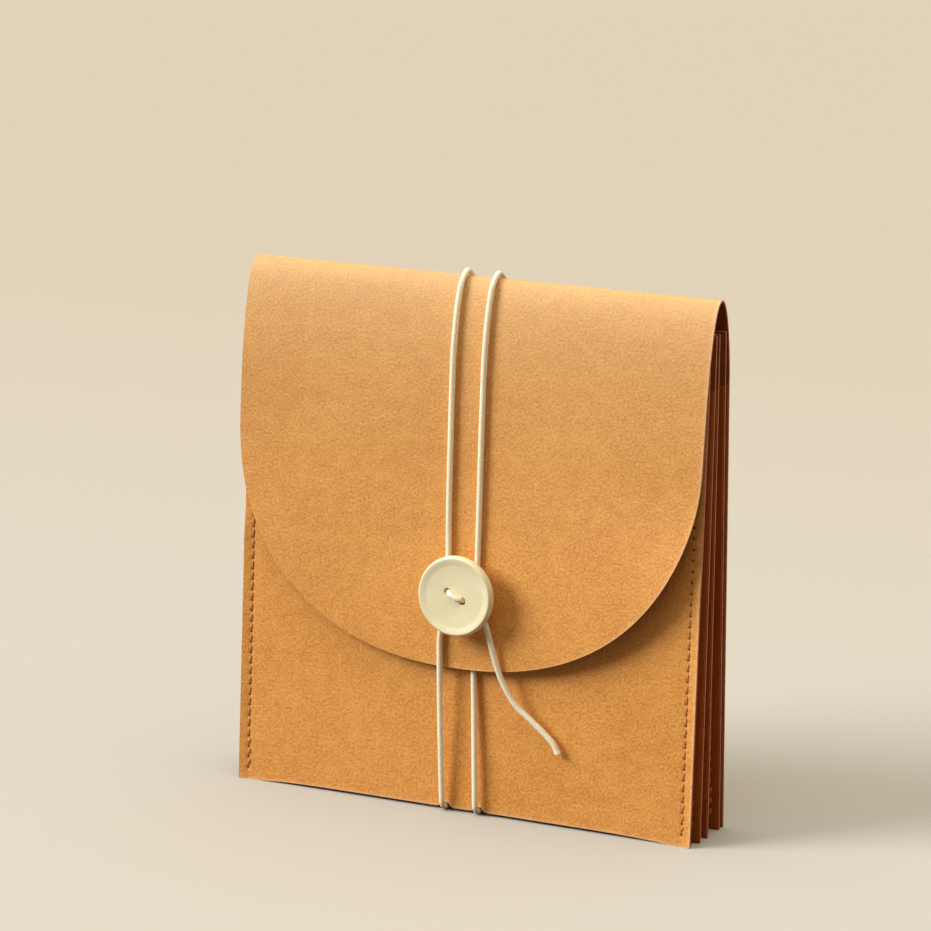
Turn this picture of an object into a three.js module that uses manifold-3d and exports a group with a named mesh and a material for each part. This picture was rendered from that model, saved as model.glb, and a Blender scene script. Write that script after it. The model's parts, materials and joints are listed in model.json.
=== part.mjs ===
// Knitting project wallet: a standing folder with a rounded flap, four pleated pockets behind it,
// and a cord that is wound twice round the whole and caught behind a sewn button.
// Millimetres, +Z up. The flap faces -Y and the wallet stands on the lower edges of its panels.

import * as THREE from 'three';
import { mergeVertices } from 'three/addons/utils/BufferGeometryUtils.js';
import Module from 'manifold-3d';

const wasm = await Module();
wasm.setup();

// Driving dimensions: the sheet goods
const WALLET_WIDTH = 170;
const FOLD_HEIGHT = 179; // top of the fold that the flap turns on
const SHEET = 0.7; // thickness of the panels and the flap
const LINING = 0.35; // thickness of the pleated strips
const CLEARANCE = 0.3; // between pieces that lie against each other

// Driving dimensions: the pockets, from the front one to the one at the back
const DIVIDER_HEADROOM = 11; // the dividers end this far below the fold
const FRONT_HEADROOM = 22; // and the front panel this far
const POCKET_FOOT = [5.9, 6.0, 9.6, 3.0]; // pitch from panel to panel at the lower edge
const POCKET_HEAD = [3.1, 2.3, 5.0, 3.0]; // and at the upper edge
const FRONT_INSET = 0.85; // the front panel is this much narrower on each side
const ARCH_RISE = 1; // the lower edges are drawn up between the corners
const ARCH_FOOT = 9; // and stand flat over this much at each corner
const ARCH_FLATNESS = 8; // exponent of the arch: 2 is a parabola
const NOTCH_RISE = 1.65; // and each turn of the cord has a notch in them
const NOTCH_HALF_WIDTH = 2;

// Driving dimensions: the fold and the flap
const FOLD_DEPTH = 6.5; // the fold's crest lies this far in front of the back panel
const BACK_BEND = 27; // the back panel starts to bend this far below the fold
const SHOULDER_DROP = 25; // the flap hangs free of the fold from here down
const SHOULDER_GAP = 1.1; // air between flap and front panel there
const FLAP_GAP = 2.95; // and along the rest of the flap
const FLAP_LENGTH = 129.2; // from the fold to the flap's lowest point
const FLAP_ROUND = 76.5; // height of the flap's rounded end
const FLAP_SQUARENESS = 2.22; // exponent of its outline: 2 is an ellipse

// Driving dimensions: the pleated strips and the seams
const PLEAT_MARGIN = 0.25; // from the panels' side edges
const PLEAT_FLANGE = 5.75; // sewn flat to the panel
const PLEAT_DEPTH = 10; // from the flange to the valley
const PLEAT_HEADROOM = 2; // the strips end this far below the back panel's bend
const PLEAT_FOOT = 0.5;
const SEAM_INSET = 3.3; // from the panels' side edges
const SEAM_WIDTH = 0.7;
const SEAM_PROUD = 0.3; // height of a stitch
const SEAM_SUNK = 0.12; // height where it dives into its hole
const SEAM_LIFT = 0.1;
const SEAM_END = 4; // from a panel's upper and lower edge
const STITCH_PITCH = 3.6;

// Driving dimensions: the button and the cord
const BUTTON_RADIUS = 13.5;
const BUTTON_RIM = 3.5; // thickness at the rim
const BUTTON_WEB = 2.7; // thickness of the dished middle
const BUTTON_X = 1.4;
const BUTTON_DROP = 103.3; // from the fold to the button's middle
const HOLE_RADIUS = 1.2;
const HOLE_SPACING = 6.1;
const HOLE_TURN = THREE.MathUtils.degToRad(-26);
const LOOP_RADIUS = 0.85; // the doubled-back end that sews the button on
const KNOT_RADIUS = 4.6;
const KNOT_HEIGHT = 1.5;
const CORD_RADIUS = 1;
const CORD_BEND = 3; // radius of the cord's middle at the lower corners
const CROSSING_LIFT = 2.6; // the upper strand over the lower one, behind the button
const FLOOR_GAP = 0.05; // between the cord's facets and the table
const FOOT_SLACK = 0.7; // the cord stands off the front and the back by this much more at the foot

// Sizes that follow
const HALF_WIDTH = WALLET_WIDTH / 2;
const ARCH_HALF_SPAN = HALF_WIDTH - ARCH_FOOT;
const DIVIDER_HEIGHT = FOLD_HEIGHT - DIVIDER_HEADROOM;
const FRONT_HEIGHT = FOLD_HEIGHT - FRONT_HEADROOM;
const FRONT_HALF_WIDTH = HALF_WIDTH - FRONT_INSET;
const BACK_STRAIGHT = FOLD_HEIGHT - BACK_BEND;
const PLEAT_TOP = Math.min(BACK_STRAIGHT, FRONT_HEIGHT) - PLEAT_HEADROOM;
const FLAP_END = FOLD_HEIGHT - FLAP_LENGTH;
const BUTTON_Z = FOLD_HEIGHT - BUTTON_DROP;
const CORD_OFFSET = SHEET / 2 + CLEARANCE + CORD_RADIUS; // from a sheet's middle to the cord's
const BUTTON_BACK = CORD_OFFSET + CROSSING_LIFT + CORD_RADIUS + CLEARANCE;

// Colours and finishes
const finish = (color, roughness) => new THREE.MeshStandardMaterial({ color, roughness, metalness: 0 });
const TAN_SHEET = [0xcb9150, 0.85];
const TAN_LINING = [0x9c6635, 0.9];
const SEAM_THREAD = [0x8a5524, 0.8];
const CREAM_BUTTON = [0xe8dfba, 0.4];
const NATURAL_CORD = [0xeddcc0, 0.9];

const wallet = new THREE.Group();

function addMesh(name, geometry, [color, roughness], parent = wallet) {
  const mesh = new THREE.Mesh(geometry, finish(color, roughness));
  mesh.name = name;
  parent.add(mesh);
  return mesh;
}

// Booleans
function solidOf(geometry) {
  const bare = geometry.clone();
  bare.deleteAttribute('normal');
  bare.deleteAttribute('uv');
  const merged = mergeVertices(bare, 1e-4);
  const vertProperties = new Float32Array(merged.attributes.position.array);
  const triVerts = new Uint32Array(merged.index.array);
  return new wasm.Manifold(new wasm.Mesh({ numProp: 3, vertProperties, triVerts }));
}

function geometryOf(solid) {
  const mesh = solid.getMesh();
  const geometry = new THREE.BufferGeometry();
  geometry.setAttribute('position', new THREE.BufferAttribute(mesh.vertProperties, 3));
  geometry.setIndex(new THREE.BufferAttribute(mesh.triVerts, 1));
  geometry.computeVertexNormals();
  return geometry;
}

// A closed surface from points and triangles, turned so that its faces point out
function closedGeometry(points, triangles) {
  let volume = 0;
  for (const [a, b, c] of triangles) {
    volume += points[a].dot(new THREE.Vector3().crossVectors(points[b], points[c]));
  }
  const faces = volume > 0 ? triangles : triangles.map(([a, b, c]) => [a, c, b]);
  const geometry = new THREE.BufferGeometry().setFromPoints(points);
  geometry.setIndex(faces.flat());
  geometry.computeVertexNormals();
  return geometry;
}

// A straight skin between two sections with as many points each, closed by a cap at both ends
function loft(first, last, flatten) {
  const n = first.length;
  const flat = first.map(flatten);
  const turns = (a, b, c) => THREE.ShapeUtils.area([flat[a], flat[b], flat[c]]);
  if (THREE.ShapeUtils.isClockWise(flat)) {
    return loft([...first].reverse(), [...last].reverse(), flatten);
  }
  const faces = THREE.ShapeUtils.triangulateShape(flat, []);
  const cap = faces.map(([a, b, c]) => (turns(a, b, c) > 0 ? [a, b, c] : [a, c, b]));
  const triangles = cap.map(([a, b, c]) => [a, c, b]);
  triangles.push(...cap.map(([a, b, c]) => [a + n, b + n, c + n]));
  for (let i = 0; i < n; i++) {
    const j = (i + 1) % n;
    triangles.push([i, j, j + n], [i, j + n, i + n]);
  }
  return closedGeometry([...first, ...last], triangles);
}

// A tube of a few flat sides along points, its ring turned on without twist from point to point
function tubeAlong(points, radius, sides) {
  const rings = [];
  let across = new THREE.Vector3(1, 0, 0);
  points.forEach((point, i) => {
    const before = points[Math.max(i - 1, 0)];
    const after = points[Math.min(i + 1, points.length - 1)];
    const along = new THREE.Vector3().subVectors(after, before).normalize();
    across = across.clone().addScaledVector(along, -across.dot(along)).normalize();
    const up = new THREE.Vector3().crossVectors(along, across);
    for (let k = 0; k < sides; k++) {
      const angle = (2 * Math.PI * k) / sides;
      const spoke = across.clone().multiplyScalar(Math.cos(angle)).addScaledVector(up, Math.sin(angle));
      rings.push(point.clone().addScaledVector(spoke, radius));
    }
  });
  const triangles = [];
  for (let i = 0; i + 1 < points.length; i++) {
    for (let k = 0; k < sides; k++) {
      const a = i * sides + k;
      const b = i * sides + ((k + 1) % sides);
      triangles.push([a, b, b + sides], [a, b + sides, a + sides]);
    }
  }
  const end = (points.length - 1) * sides;
  for (let k = 1; k + 1 < sides; k++) {
    triangles.push([0, k + 1, k], [end, end + k, end + k + 1]);
  }
  return closedGeometry(rings, triangles);
}

// An extrusion along X of an outline in Y and Z, centred on the width
function extrudeAcross(outline, width) {
  const geometry = new THREE.ExtrudeGeometry(new THREE.Shape(outline), { depth: width, bevelEnabled: false });
  geometry.translate(0, 0, -width / 2);
  const toYZX = new THREE.Matrix4().makeBasis(
    new THREE.Vector3(0, 1, 0),
    new THREE.Vector3(0, 0, 1),
    new THREE.Vector3(1, 0, 0),
  );
  return geometry.applyMatrix4(toYZX);
}

// An extrusion along Y of an outline in X and Z, from one depth to another
function extrudeForward(outline, yFront, yRear) {
  const depth = yRear - yFront;
  const geometry = new THREE.ExtrudeGeometry(new THREE.Shape(outline), { depth, bevelEnabled: false });
  const toXZY = new THREE.Matrix4().makeBasis(
    new THREE.Vector3(1, 0, 0),
    new THREE.Vector3(0, 0, 1),
    new THREE.Vector3(0, -1, 0),
  );
  return geometry.applyMatrix4(toXZY).translate(0, yRear, 0);
}

// The panels. Each stands at its own depth in front of the back panel and leans with its neighbours
const sum = (values) => values.reduce((total, value) => total + value, 0);
const PANEL_NAMES = ['front_panel', 'divider_1', 'divider_2', 'divider_3'];
const PANELS = PANEL_NAMES.map((name, i) => ({
  name,
  height: i === 0 ? FRONT_HEIGHT : DIVIDER_HEIGHT,
  half: i === 0 ? FRONT_HALF_WIDTH : HALF_WIDTH,
  foot: sum(POCKET_FOOT.slice(i)),
  head: sum(POCKET_HEAD.slice(i)),
}));
PANELS.push({ name: 'back_panel', height: BACK_STRAIGHT, half: HALF_WIDTH, foot: 0, head: 0 });

// Depth of a panel's middle at a height, counted backwards from the front
const panelY = (panel, z) => -panel.foot + ((panel.foot - panel.head) * z) / panel.height;
const frontFace = (panel, z) => panelY(panel, z) - SHEET / 2;
const rearFace = (panel, z) => panelY(panel, z) + SHEET / 2;
const FRONT = PANELS[0];

// How far the cord's two turns lie to the right, at the foot, over the fold and above the button
const CORD_X = { foot: [6.8, -5.5], top: [5.4, -6], button: [6.3, -4.6] };

// Rise of the lower edges: a low, flat arch, and a flat-topped notch over each turn of the cord
function lowerEdge(x) {
  const arch = 1 - Math.min(Math.abs(x) / ARCH_HALF_SPAN, 1) ** ARCH_FLATNESS;
  const notches = CORD_X.foot.map((cordX) => Math.exp(-(((x - cordX) / NOTCH_HALF_WIDTH) ** 4)));
  return ARCH_RISE * arch + NOTCH_RISE * sum(notches);
}

// A panel's outline: square corners, and points on the lower edge where it bends
function panelOutline(height, half) {
  const ARCH_SHARES = [-1, -0.94, -0.86, -0.75, -0.5, 0.5, 0.75, 0.86, 0.94, 1];
  const NOTCH_SHARES = [-1.4, -1.1, -0.85, -0.5, 0.5, 0.85, 1.1, 1.4];
  const places = ARCH_SHARES.map((share) => share * ARCH_HALF_SPAN);
  for (const x of CORD_X.foot) {
    places.push(...NOTCH_SHARES.map((share) => x + share * NOTCH_HALF_WIDTH));
  }
  places.sort((a, b) => a - b);
  return [
    new THREE.Vector2(-half, 0),
    ...places.map((x) => new THREE.Vector2(x, lowerEdge(x))),
    new THREE.Vector2(half, 0),
    new THREE.Vector2(half, height),
    new THREE.Vector2(-half, height),
  ];
}

function leaningPanel(panel) {
  const geometry = extrudeForward(panelOutline(panel.height, panel.half), -SHEET / 2, SHEET / 2);
  const lean = (panel.foot - panel.head) / panel.height;
  geometry.applyMatrix4(new THREE.Matrix4().makeShear(0, 0, 0, 0, 0, lean));
  const mesh = addMesh(panel.name, geometry, TAN_SHEET);
  mesh.position.y = -panel.foot;
}

// The cover sheet, seen from its side: up the back, over the fold, down the flap.
// Its curves are in Y (as x) and Z (as y), along the middle of the sheet
const FOLD_CREST = new THREE.Vector2(-FOLD_DEPTH, FOLD_HEIGHT - SHEET / 2);
const flapPoint = (z, gap) => new THREE.Vector2(panelY(FRONT, z) - SHEET - gap, z);
const SHOULDER = flapPoint(FOLD_HEIGHT - SHOULDER_DROP, SHOULDER_GAP);
const FLAP_TIP = flapPoint(FLAP_END, FLAP_GAP);
const HANG_PULL = 24; // length of the handle that bends the hanging part
const hangHandle = flapPoint(SHOULDER.y - HANG_PULL, FLAP_GAP);
const BACK_PULL = [13, 4]; // lengths of the handles of the back panel's bend
const SHOULDER_PULL = [4.5, 10]; // lengths of the handles of the flap's shoulder

const backRise = new THREE.LineCurve(new THREE.Vector2(0, 0), new THREE.Vector2(0, BACK_STRAIGHT));
const backBend = new THREE.CubicBezierCurve(
  new THREE.Vector2(0, BACK_STRAIGHT),
  new THREE.Vector2(0, BACK_STRAIGHT + BACK_PULL[0]),
  new THREE.Vector2(FOLD_CREST.x + BACK_PULL[1], FOLD_CREST.y),
  FOLD_CREST,
);
const hangSlope = new THREE.Vector2().subVectors(SHOULDER, hangHandle).normalize();
const shoulder = new THREE.CubicBezierCurve(
  FOLD_CREST,
  new THREE.Vector2(FOLD_CREST.x - SHOULDER_PULL[0], FOLD_CREST.y),
  SHOULDER.clone().addScaledVector(hangSlope, SHOULDER_PULL[1]),
  SHOULDER,
);
const hang = new THREE.QuadraticBezierCurve(SHOULDER, hangHandle, FLAP_TIP);

// A point of a cover curve, and one lifted off it to the outside
const outward = (curve, t) => {
  const along = curve.getTangent(t);
  return new THREE.Vector2(along.y, -along.x);
};
const lifted = (curve, t, lift) => curve.getPoint(t).addScaledVector(outward(curve, t), lift);

// A sheet of even thickness that follows curves, as wide as the wallet
function curvedSheet(stretches) {
  const inner = [];
  const outer = [];
  for (const { curve, steps, from = 0 } of stretches) {
    for (let i = inner.length ? 1 : 0; i <= steps; i++) {
      const t = from + ((1 - from) * i) / steps;
      outer.push(lifted(curve, t, SHEET / 2));
      inner.push(lifted(curve, t, -SHEET / 2));
    }
  }
  return extrudeAcross([...outer, ...inner.reverse()], WALLET_WIDTH);
}

// Reach of the tools that trim a sheet to its outline
const TRIM_REACH = sum(POCKET_FOOT) + 10 * FLAP_GAP;

function backPanel() {
  const sheet = curvedSheet([{ curve: backRise, steps: 1 }, { curve: backBend, steps: 8 }]);
  const outline = extrudeForward(panelOutline(FOLD_HEIGHT + SHEET, HALF_WIDTH), -TRIM_REACH, TRIM_REACH);
  addMesh('back_panel', geometryOf(solidOf(sheet).intersect(solidOf(outline))), TAN_SHEET);
}

// The flap's outline: straight sides, then half of a superellipse
function flapOutline() {
  const ROUND_STEPS = 32;
  const points = [];
  for (let i = 0; i <= ROUND_STEPS; i++) {
    const angle = (Math.PI * i) / ROUND_STEPS;
    const power = 2 / FLAP_SQUARENESS;
    const x = -HALF_WIDTH * Math.sign(Math.cos(angle)) * Math.abs(Math.cos(angle)) ** power;
    const drop = FLAP_ROUND * Math.sin(angle) ** power;
    points.push(new THREE.Vector2(x, FLAP_END + FLAP_ROUND - drop));
  }
  const above = FOLD_HEIGHT + SHEET;
  points.push(new THREE.Vector2(HALF_WIDTH, above), new THREE.Vector2(-HALF_WIDTH, above));
  return points;
}

// The button's place: its own frame has +Z out of the flap and its origin in the middle of the sheet
const onHang = (z) => {
  // Depth along the hanging part at a height, by halving
  let low = 0;
  let high = 1;
  for (let i = 0; i < 40; i++) {
    const mid = (low + high) / 2;
    if (hang.getPoint(mid).y > z) low = mid;
    else high = mid;
  }
  return (low + high) / 2;
};
const buttonStation = onHang(BUTTON_Z);
const buttonNormal = outward(hang, buttonStation);
const buttonSeat = hang.getPoint(buttonStation);
const button = new THREE.Group();
button.position.set(BUTTON_X, buttonSeat.x, buttonSeat.y);
button.quaternion.setFromUnitVectors(
  new THREE.Vector3(0, 0, 1),
  new THREE.Vector3(0, buttonNormal.x, buttonNormal.y),
);
button.updateMatrix();

// Holes that the sewing loop passes, through any sheet or disc at the button's place
const HOLE_REACH = 2 * (BUTTON_BACK + BUTTON_RIM);
const holePlaces = [-1, 1].map((side) => {
  const arm = (side * HOLE_SPACING) / 2;
  return new THREE.Vector2(arm * Math.cos(HOLE_TURN), arm * Math.sin(HOLE_TURN));
});
function holeCutter({ x, y }) {
  const HOLE_SIDES = 14;
  const geometry = new THREE.CylinderGeometry(HOLE_RADIUS, HOLE_RADIUS, HOLE_REACH, HOLE_SIDES);
  return geometry.rotateX(Math.PI / 2).translate(x, y, 0);
}

function flap() {
  const crease = CLEARANCE / 2 / shoulder.getLength();
  const sheet = curvedSheet([
    { curve: shoulder, steps: 9, from: crease },
    { curve: hang, steps: 7 },
  ]);
  const outline = extrudeForward(flapOutline(), -TRIM_REACH, TRIM_REACH);
  let solid = solidOf(sheet).intersect(solidOf(outline));
  for (const place of holePlaces) {
    solid = solid.subtract(solidOf(holeCutter(place).applyMatrix4(button.matrix)));
  }
  addMesh('flap', geometryOf(solid), TAN_SHEET);
}

// The pleated strips: between two panels, a folded strip is sewn to both by its flanges
// and its valley lies inside the pocket
function pleatSection(front, rear, z, place) {
  const first = rearFace(front, z) + CLEARANCE;
  const last = frontFace(rear, z) - CLEARANCE;
  const middle = (first + last) / 2;
  const half = middle - first;
  const inner = place.flange + ((place.valley - place.flange) * (half - LINING)) / half;
  return [
    [place.firstEdge, first],
    [place.firstEdge, first + LINING],
    [place.flange, first + LINING],
    [inner, middle],
    [place.flange, last - LINING],
    [place.lastEdge, last - LINING],
    [place.lastEdge, last],
    [place.flange, last],
    [place.valley, middle],
    [place.flange, first],
  ];
}

function sidePleat(name, front, rear, side) {
  const flange = HALF_WIDTH - PLEAT_MARGIN - PLEAT_FLANGE;
  const place = {
    firstEdge: front.half - PLEAT_MARGIN,
    lastEdge: rear.half - PLEAT_MARGIN,
    flange,
    valley: flange - PLEAT_DEPTH,
  };
  const section = (z) =>
    pleatSection(front, rear, z, place).map(([x, y]) => new THREE.Vector3(side * x, y, z));
  const flatten = (point) => new THREE.Vector2(point.x, point.y);
  addMesh(name, loft(section(PLEAT_FOOT), section(PLEAT_TOP), flatten), TAN_LINING);
}

// Below, the strip's two legs rise from the lower edge, over the cord, and meet in a ridge
function lowerPleat(name, front, rear) {
  const low = ARCH_RISE + NOTCH_RISE + CLEARANCE;
  const high = low + PLEAT_DEPTH;
  const ridge = (rearFace(front, high) + frontFace(rear, high)) / 2;
  const first = rearFace(front, low) + CLEARANCE;
  const last = frontFace(rear, low) - CLEARANCE;
  const half = (last - first) / 2;
  const inner = high - (PLEAT_DEPTH * LINING) / half;
  const outline = [
    [first, low],
    [first + LINING, low],
    [ridge, inner],
    [last - LINING, low],
    [last, low],
    [ridge, high],
  ].map(([y, z]) => new THREE.Vector2(y, z));
  const reach = HALF_WIDTH - PLEAT_MARGIN - PLEAT_FLANGE - PLEAT_DEPTH - CLEARANCE;
  addMesh(name, extrudeAcross(outline, 2 * reach), TAN_LINING);
}

// A seam: one thread that rises over every stitch and dives between two. A plain one stays flat
function seam(name, x, surface, sense, top, stitched) {
  const low = SEAM_END;
  const count = stitched ? Math.floor((top - SEAM_END - low) / STITCH_PITCH) : 1;
  const pitch = (top - SEAM_END - low) / count;
  const on = (z, height) => new THREE.Vector2(surface(z) + sense * height, z);
  const outline = [on(low + count * pitch, SEAM_LIFT), on(low, SEAM_LIFT)];
  for (let i = 0; i < count; i++) {
    const z = low + i * pitch;
    const dive = stitched ? SEAM_SUNK : SEAM_PROUD;
    outline.push(on(z, SEAM_LIFT + dive), on(z + pitch / 2, SEAM_LIFT + SEAM_PROUD));
  }
  outline.push(on(low + count * pitch, SEAM_LIFT + SEAM_PROUD));
  addMesh(name, extrudeAcross(outline, SEAM_WIDTH).translate(x, 0, 0), SEAM_THREAD);
}

// The button: a dished disc with a rounded rim, turned about its own axis
function buttonDisc() {
  const RIM_WIDTH = 2.6;
  const FACETS = 32;
  const profile = [
    [0, 0],
    [BUTTON_RADIUS - 2, 0],
    [BUTTON_RADIUS - 0.5, 0.25 * BUTTON_RIM],
    [BUTTON_RADIUS, 0.55 * BUTTON_RIM],
    [BUTTON_RADIUS - 0.35, 0.87 * BUTTON_RIM],
    [BUTTON_RADIUS - RIM_WIDTH / 2, BUTTON_RIM],
    [BUTTON_RADIUS - RIM_WIDTH, 0.9 * BUTTON_RIM],
    [BUTTON_RADIUS - 1.5 * RIM_WIDTH, BUTTON_WEB + 0.15],
    [0, BUTTON_WEB],
  ].map(([r, h]) => new THREE.Vector2(r, h));
  const disc = new THREE.LatheGeometry(profile, FACETS).rotateX(Math.PI / 2).translate(0, 0, BUTTON_BACK);
  let solid = solidOf(disc);
  for (const place of holePlaces) solid = solid.subtract(solidOf(holeCutter(place)));
  addMesh('button', geometryOf(solid), CREAM_BUTTON, button);
}

// A round section for a tube along a curve
function roundSection(radius, sides) {
  const corners = [];
  for (let k = 0; k < sides; k++) {
    const angle = (2 * Math.PI * k) / sides;
    corners.push(new THREE.Vector2(radius * Math.cos(angle), radius * Math.sin(angle)));
  }
  return new THREE.Shape(corners);
}

// The sewing loop: through the flap, up through one hole, over the button's face and down the other
function buttonLoop() {
  const top = BUTTON_BACK + BUTTON_WEB + LOOP_RADIUS + CLEARANCE;
  const low = -SHEET / 2 - CLEARANCE;
  const ROUND = 0.3; // share of the hole spacing that each shoulder takes
  const [start, finishHole] = holePlaces;
  const at = (share, z) => {
    const place = start.clone().lerp(finishHole, share);
    return new THREE.Vector3(place.x, place.y, z);
  };
  const path = new THREE.CurvePath();
  const shoulderDrop = ROUND * HOLE_SPACING;
  path.add(new THREE.LineCurve3(at(0, low), at(0, top - shoulderDrop)));
  path.add(new THREE.QuadraticBezierCurve3(at(0, top - shoulderDrop), at(0, top), at(ROUND, top)));
  path.add(new THREE.LineCurve3(at(ROUND, top), at(1 - ROUND, top)));
  path.add(new THREE.QuadraticBezierCurve3(at(1 - ROUND, top), at(1, top), at(1, top - shoulderDrop)));
  path.add(new THREE.LineCurve3(at(1, top - shoulderDrop), at(1, low)));
  const points = path.curves.flatMap((curve, i) => curve.getPoints(i % 2 ? 4 : 1).slice(i ? 1 : 0));
  addMesh('button_loop', tubeAlong(points, LOOP_RADIUS, 8), NATURAL_CORD, button);
}

// The knot that holds the loop, pressed flat between the flap and the front panel
const KNOT_Z = -SHEET / 2 - 2 * CLEARANCE - KNOT_HEIGHT / 2;
function cordKnot() {
  const KNOT_SLIMNESS = 0.8;
  const geometry = new THREE.SphereGeometry(1, 16, 8);
  geometry.rotateX(Math.PI / 2).scale(KNOT_RADIUS, KNOT_SLIMNESS * KNOT_RADIUS, KNOT_HEIGHT / 2);
  geometry.rotateZ(HOLE_TURN).translate(0, 0, KNOT_Z);
  addMesh('cord_knot', geometryOf(solidOf(geometry)), NATURAL_CORD, button);
}

// The cord's route. Where it lies on the cover it follows the cover's own curves
const FRONT_Y = panelY(FRONT, 0) - CORD_OFFSET - FOOT_SLACK;
const REAR_Y = CORD_OFFSET + FOOT_SLACK;
const FLOOR_Z = CORD_RADIUS + FLOOR_GAP;

// Under the wallet, up its back, over the fold and down to the button
function cordTurn(turn) {
  const CORNER_STEPS = 4;
  const FOLD_STEPS = 7;
  const FOLD_EASE = 0.15; // the flat facets of the cord cut its bends short by this much
  const points = [];
  const foot = CORD_X.foot[turn];
  for (const [y, from] of [[FRONT_Y + CORD_BEND, Math.PI], [REAR_Y - CORD_BEND, 1.5 * Math.PI]]) {
    for (let i = 0; i <= CORNER_STEPS; i++) {
      const angle = from + ((Math.PI / 2) * i) / CORNER_STEPS;
      const dy = CORD_BEND * Math.cos(angle);
      const dz = CORD_BEND * Math.sin(angle);
      points.push(new THREE.Vector3(foot, y + dy, FLOOR_Z + CORD_BEND + dz));
    }
  }
  const lay = (place, share, from, to) => {
    points.push(new THREE.Vector3(THREE.MathUtils.lerp(from, to, share), place.x, place.y));
  };
  const top = CORD_X.top[turn];
  const end = CORD_X.button[turn];
  for (const share of [0.4, 0.75, 1]) {
    lay(lifted(backRise, share, CORD_OFFSET), share, foot, top);
  }
  for (let i = 1; i <= FOLD_STEPS; i++) {
    lay(lifted(backBend, i / FOLD_STEPS, CORD_OFFSET + FOLD_EASE), 1, foot, top);
  }
  for (let i = 1; i <= FOLD_STEPS; i++) {
    lay(lifted(shoulder, i / FOLD_STEPS, CORD_OFFSET + FOLD_EASE), 0, top, end);
  }
  for (const share of [0.35, 0.7]) {
    lay(lifted(hang, share * buttonStation, CORD_OFFSET), share, top, end);
  }
  return points;
}

// Behind the button: across, up, and how far off the flap, from the button's middle.
// The first strand passes right of the sewing loop and the second left of it and over the first
const FIRST_PASS = [
  [4.7, 9.5, 0],
  [4.9, 4, 0],
  [5.3, -1.3, 0],
  [3.4, -5.4, 0],
  [-0.8, -8, 0],
  [-5, -9.8, 0],
  [-7.6, -12.3, 0],
  [-8.2, -15.8, 0],
];
const SECOND_PASS = [
  [-6, 11, 0],
  [-5.8, 5.5, 0.1],
  [-5.4, 1.5, 0.3],
  [-3.9, -1.8, 0.7],
  [-0.5, -3.9, 1],
  [3.7, -4.7, 1],
  [7.2, -6, 1],
  [9.2, -8.2, 1],
  [10.1, -10.3, 1],
];
const behindButton = ([across, up, share]) => {
  const lift = CORD_OFFSET + share * CROSSING_LIFT;
  const place = lifted(hang, onHang(BUTTON_Z + up), lift);
  return new THREE.Vector3(BUTTON_X + across, place.x, place.y);
};

function windingRoute() {
  // The hidden start, between the flap and the front panel, and its way down to the floor
  const between = (x, z) => {
    const flapInside = hang.getPoint(onHang(z)).x + SHEET / 2;
    return new THREE.Vector3(x, (flapInside + frontFace(FRONT, z)) / 2, z);
  };
  const KNOT_DROP = 5.5;
  const start = [
    between(2.4, BUTTON_Z - KNOT_DROP),
    between(3.2, BUTTON_Z - 3 * KNOT_DROP),
    between(4.2, FLAP_END),
  ];
  const edge = lifted(hang, 1, CORD_OFFSET);
  const overEdge = new THREE.Vector3(-6.6, edge.x, edge.y);
  return [
    ...start,
    ...cordTurn(0),
    ...FIRST_PASS.map(behindButton),
    overEdge,
    ...cordTurn(1),
    ...SECOND_PASS.map(behindButton),
  ];
}

// The least distance of a route's surface to itself, leaving out what lies close along the cord
function leastSelfGap(points, radius) {
  const SPACING = 1;
  const NEIGHBOURHOOD = 12 * radius;
  const fine = [];
  for (let i = 0; i + 1 < points.length; i++) {
    const steps = Math.ceil(points[i].distanceTo(points[i + 1]) / SPACING);
    for (let k = 0; k < steps; k++) fine.push(points[i].clone().lerp(points[i + 1], k / steps));
  }
  let least = Infinity;
  const apart = Math.ceil(NEIGHBOURHOOD / SPACING);
  for (let i = 0; i < fine.length; i++) {
    for (let j = i + apart; j < fine.length; j++) least = Math.min(least, fine[i].distanceTo(fine[j]));
  }
  return least - 2 * radius;
}

const CORD_SIDES = 6;
const winding = windingRoute();

// The loose end, from where it comes out behind the button to its cut end
const TAIL_POINTS = [
  [12.6, -27, 60.3],
  [14.8, -26.6, 52.5],
  [16.8, -26.1, 47.2],
  [21, -25.6, 40.4],
  [26.3, -25.2, 35.9],
  [31, -24.9, 32],
  [34.5, -24.8, 28.6],
  [36.3, -24.8, 25.4],
];
function cordTail() {
  const end = winding[winding.length - 1];
  const before = winding[winding.length - 2];
  const along = new THREE.Vector3().subVectors(end, before).normalize();
  const start = end.clone().addScaledVector(along, CLEARANCE);
  const straight = end.clone().addScaledVector(along, CLEARANCE + 2 * CORD_RADIUS);
  const route = [start, straight, ...TAIL_POINTS.map((point) => new THREE.Vector3(...point))];
  const path = new THREE.CatmullRomCurve3(route, false, 'centripetal');
  const section = roundSection(CORD_RADIUS, 8);
  const geometry = new THREE.ExtrudeGeometry(section, { steps: 20, extrudePath: path });
  addMesh('cord_tail', geometry, NATURAL_CORD);
}

// Assembly
for (const panel of PANELS.slice(0, -1)) leaningPanel(panel);
backPanel();
flap();
wallet.add(button);
buttonDisc();
buttonLoop();
cordKnot();

const SIDES = { left: -1, right: 1 };
for (let i = 0; i + 1 < PANELS.length; i++) {
  for (const [side, sign] of Object.entries(SIDES)) {
    sidePleat(`pleat_${side}_${i + 1}`, PANELS[i], PANELS[i + 1], sign);
  }
  lowerPleat(`pleat_lower_${i + 1}`, PANELS[i], PANELS[i + 1]);
}

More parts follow.
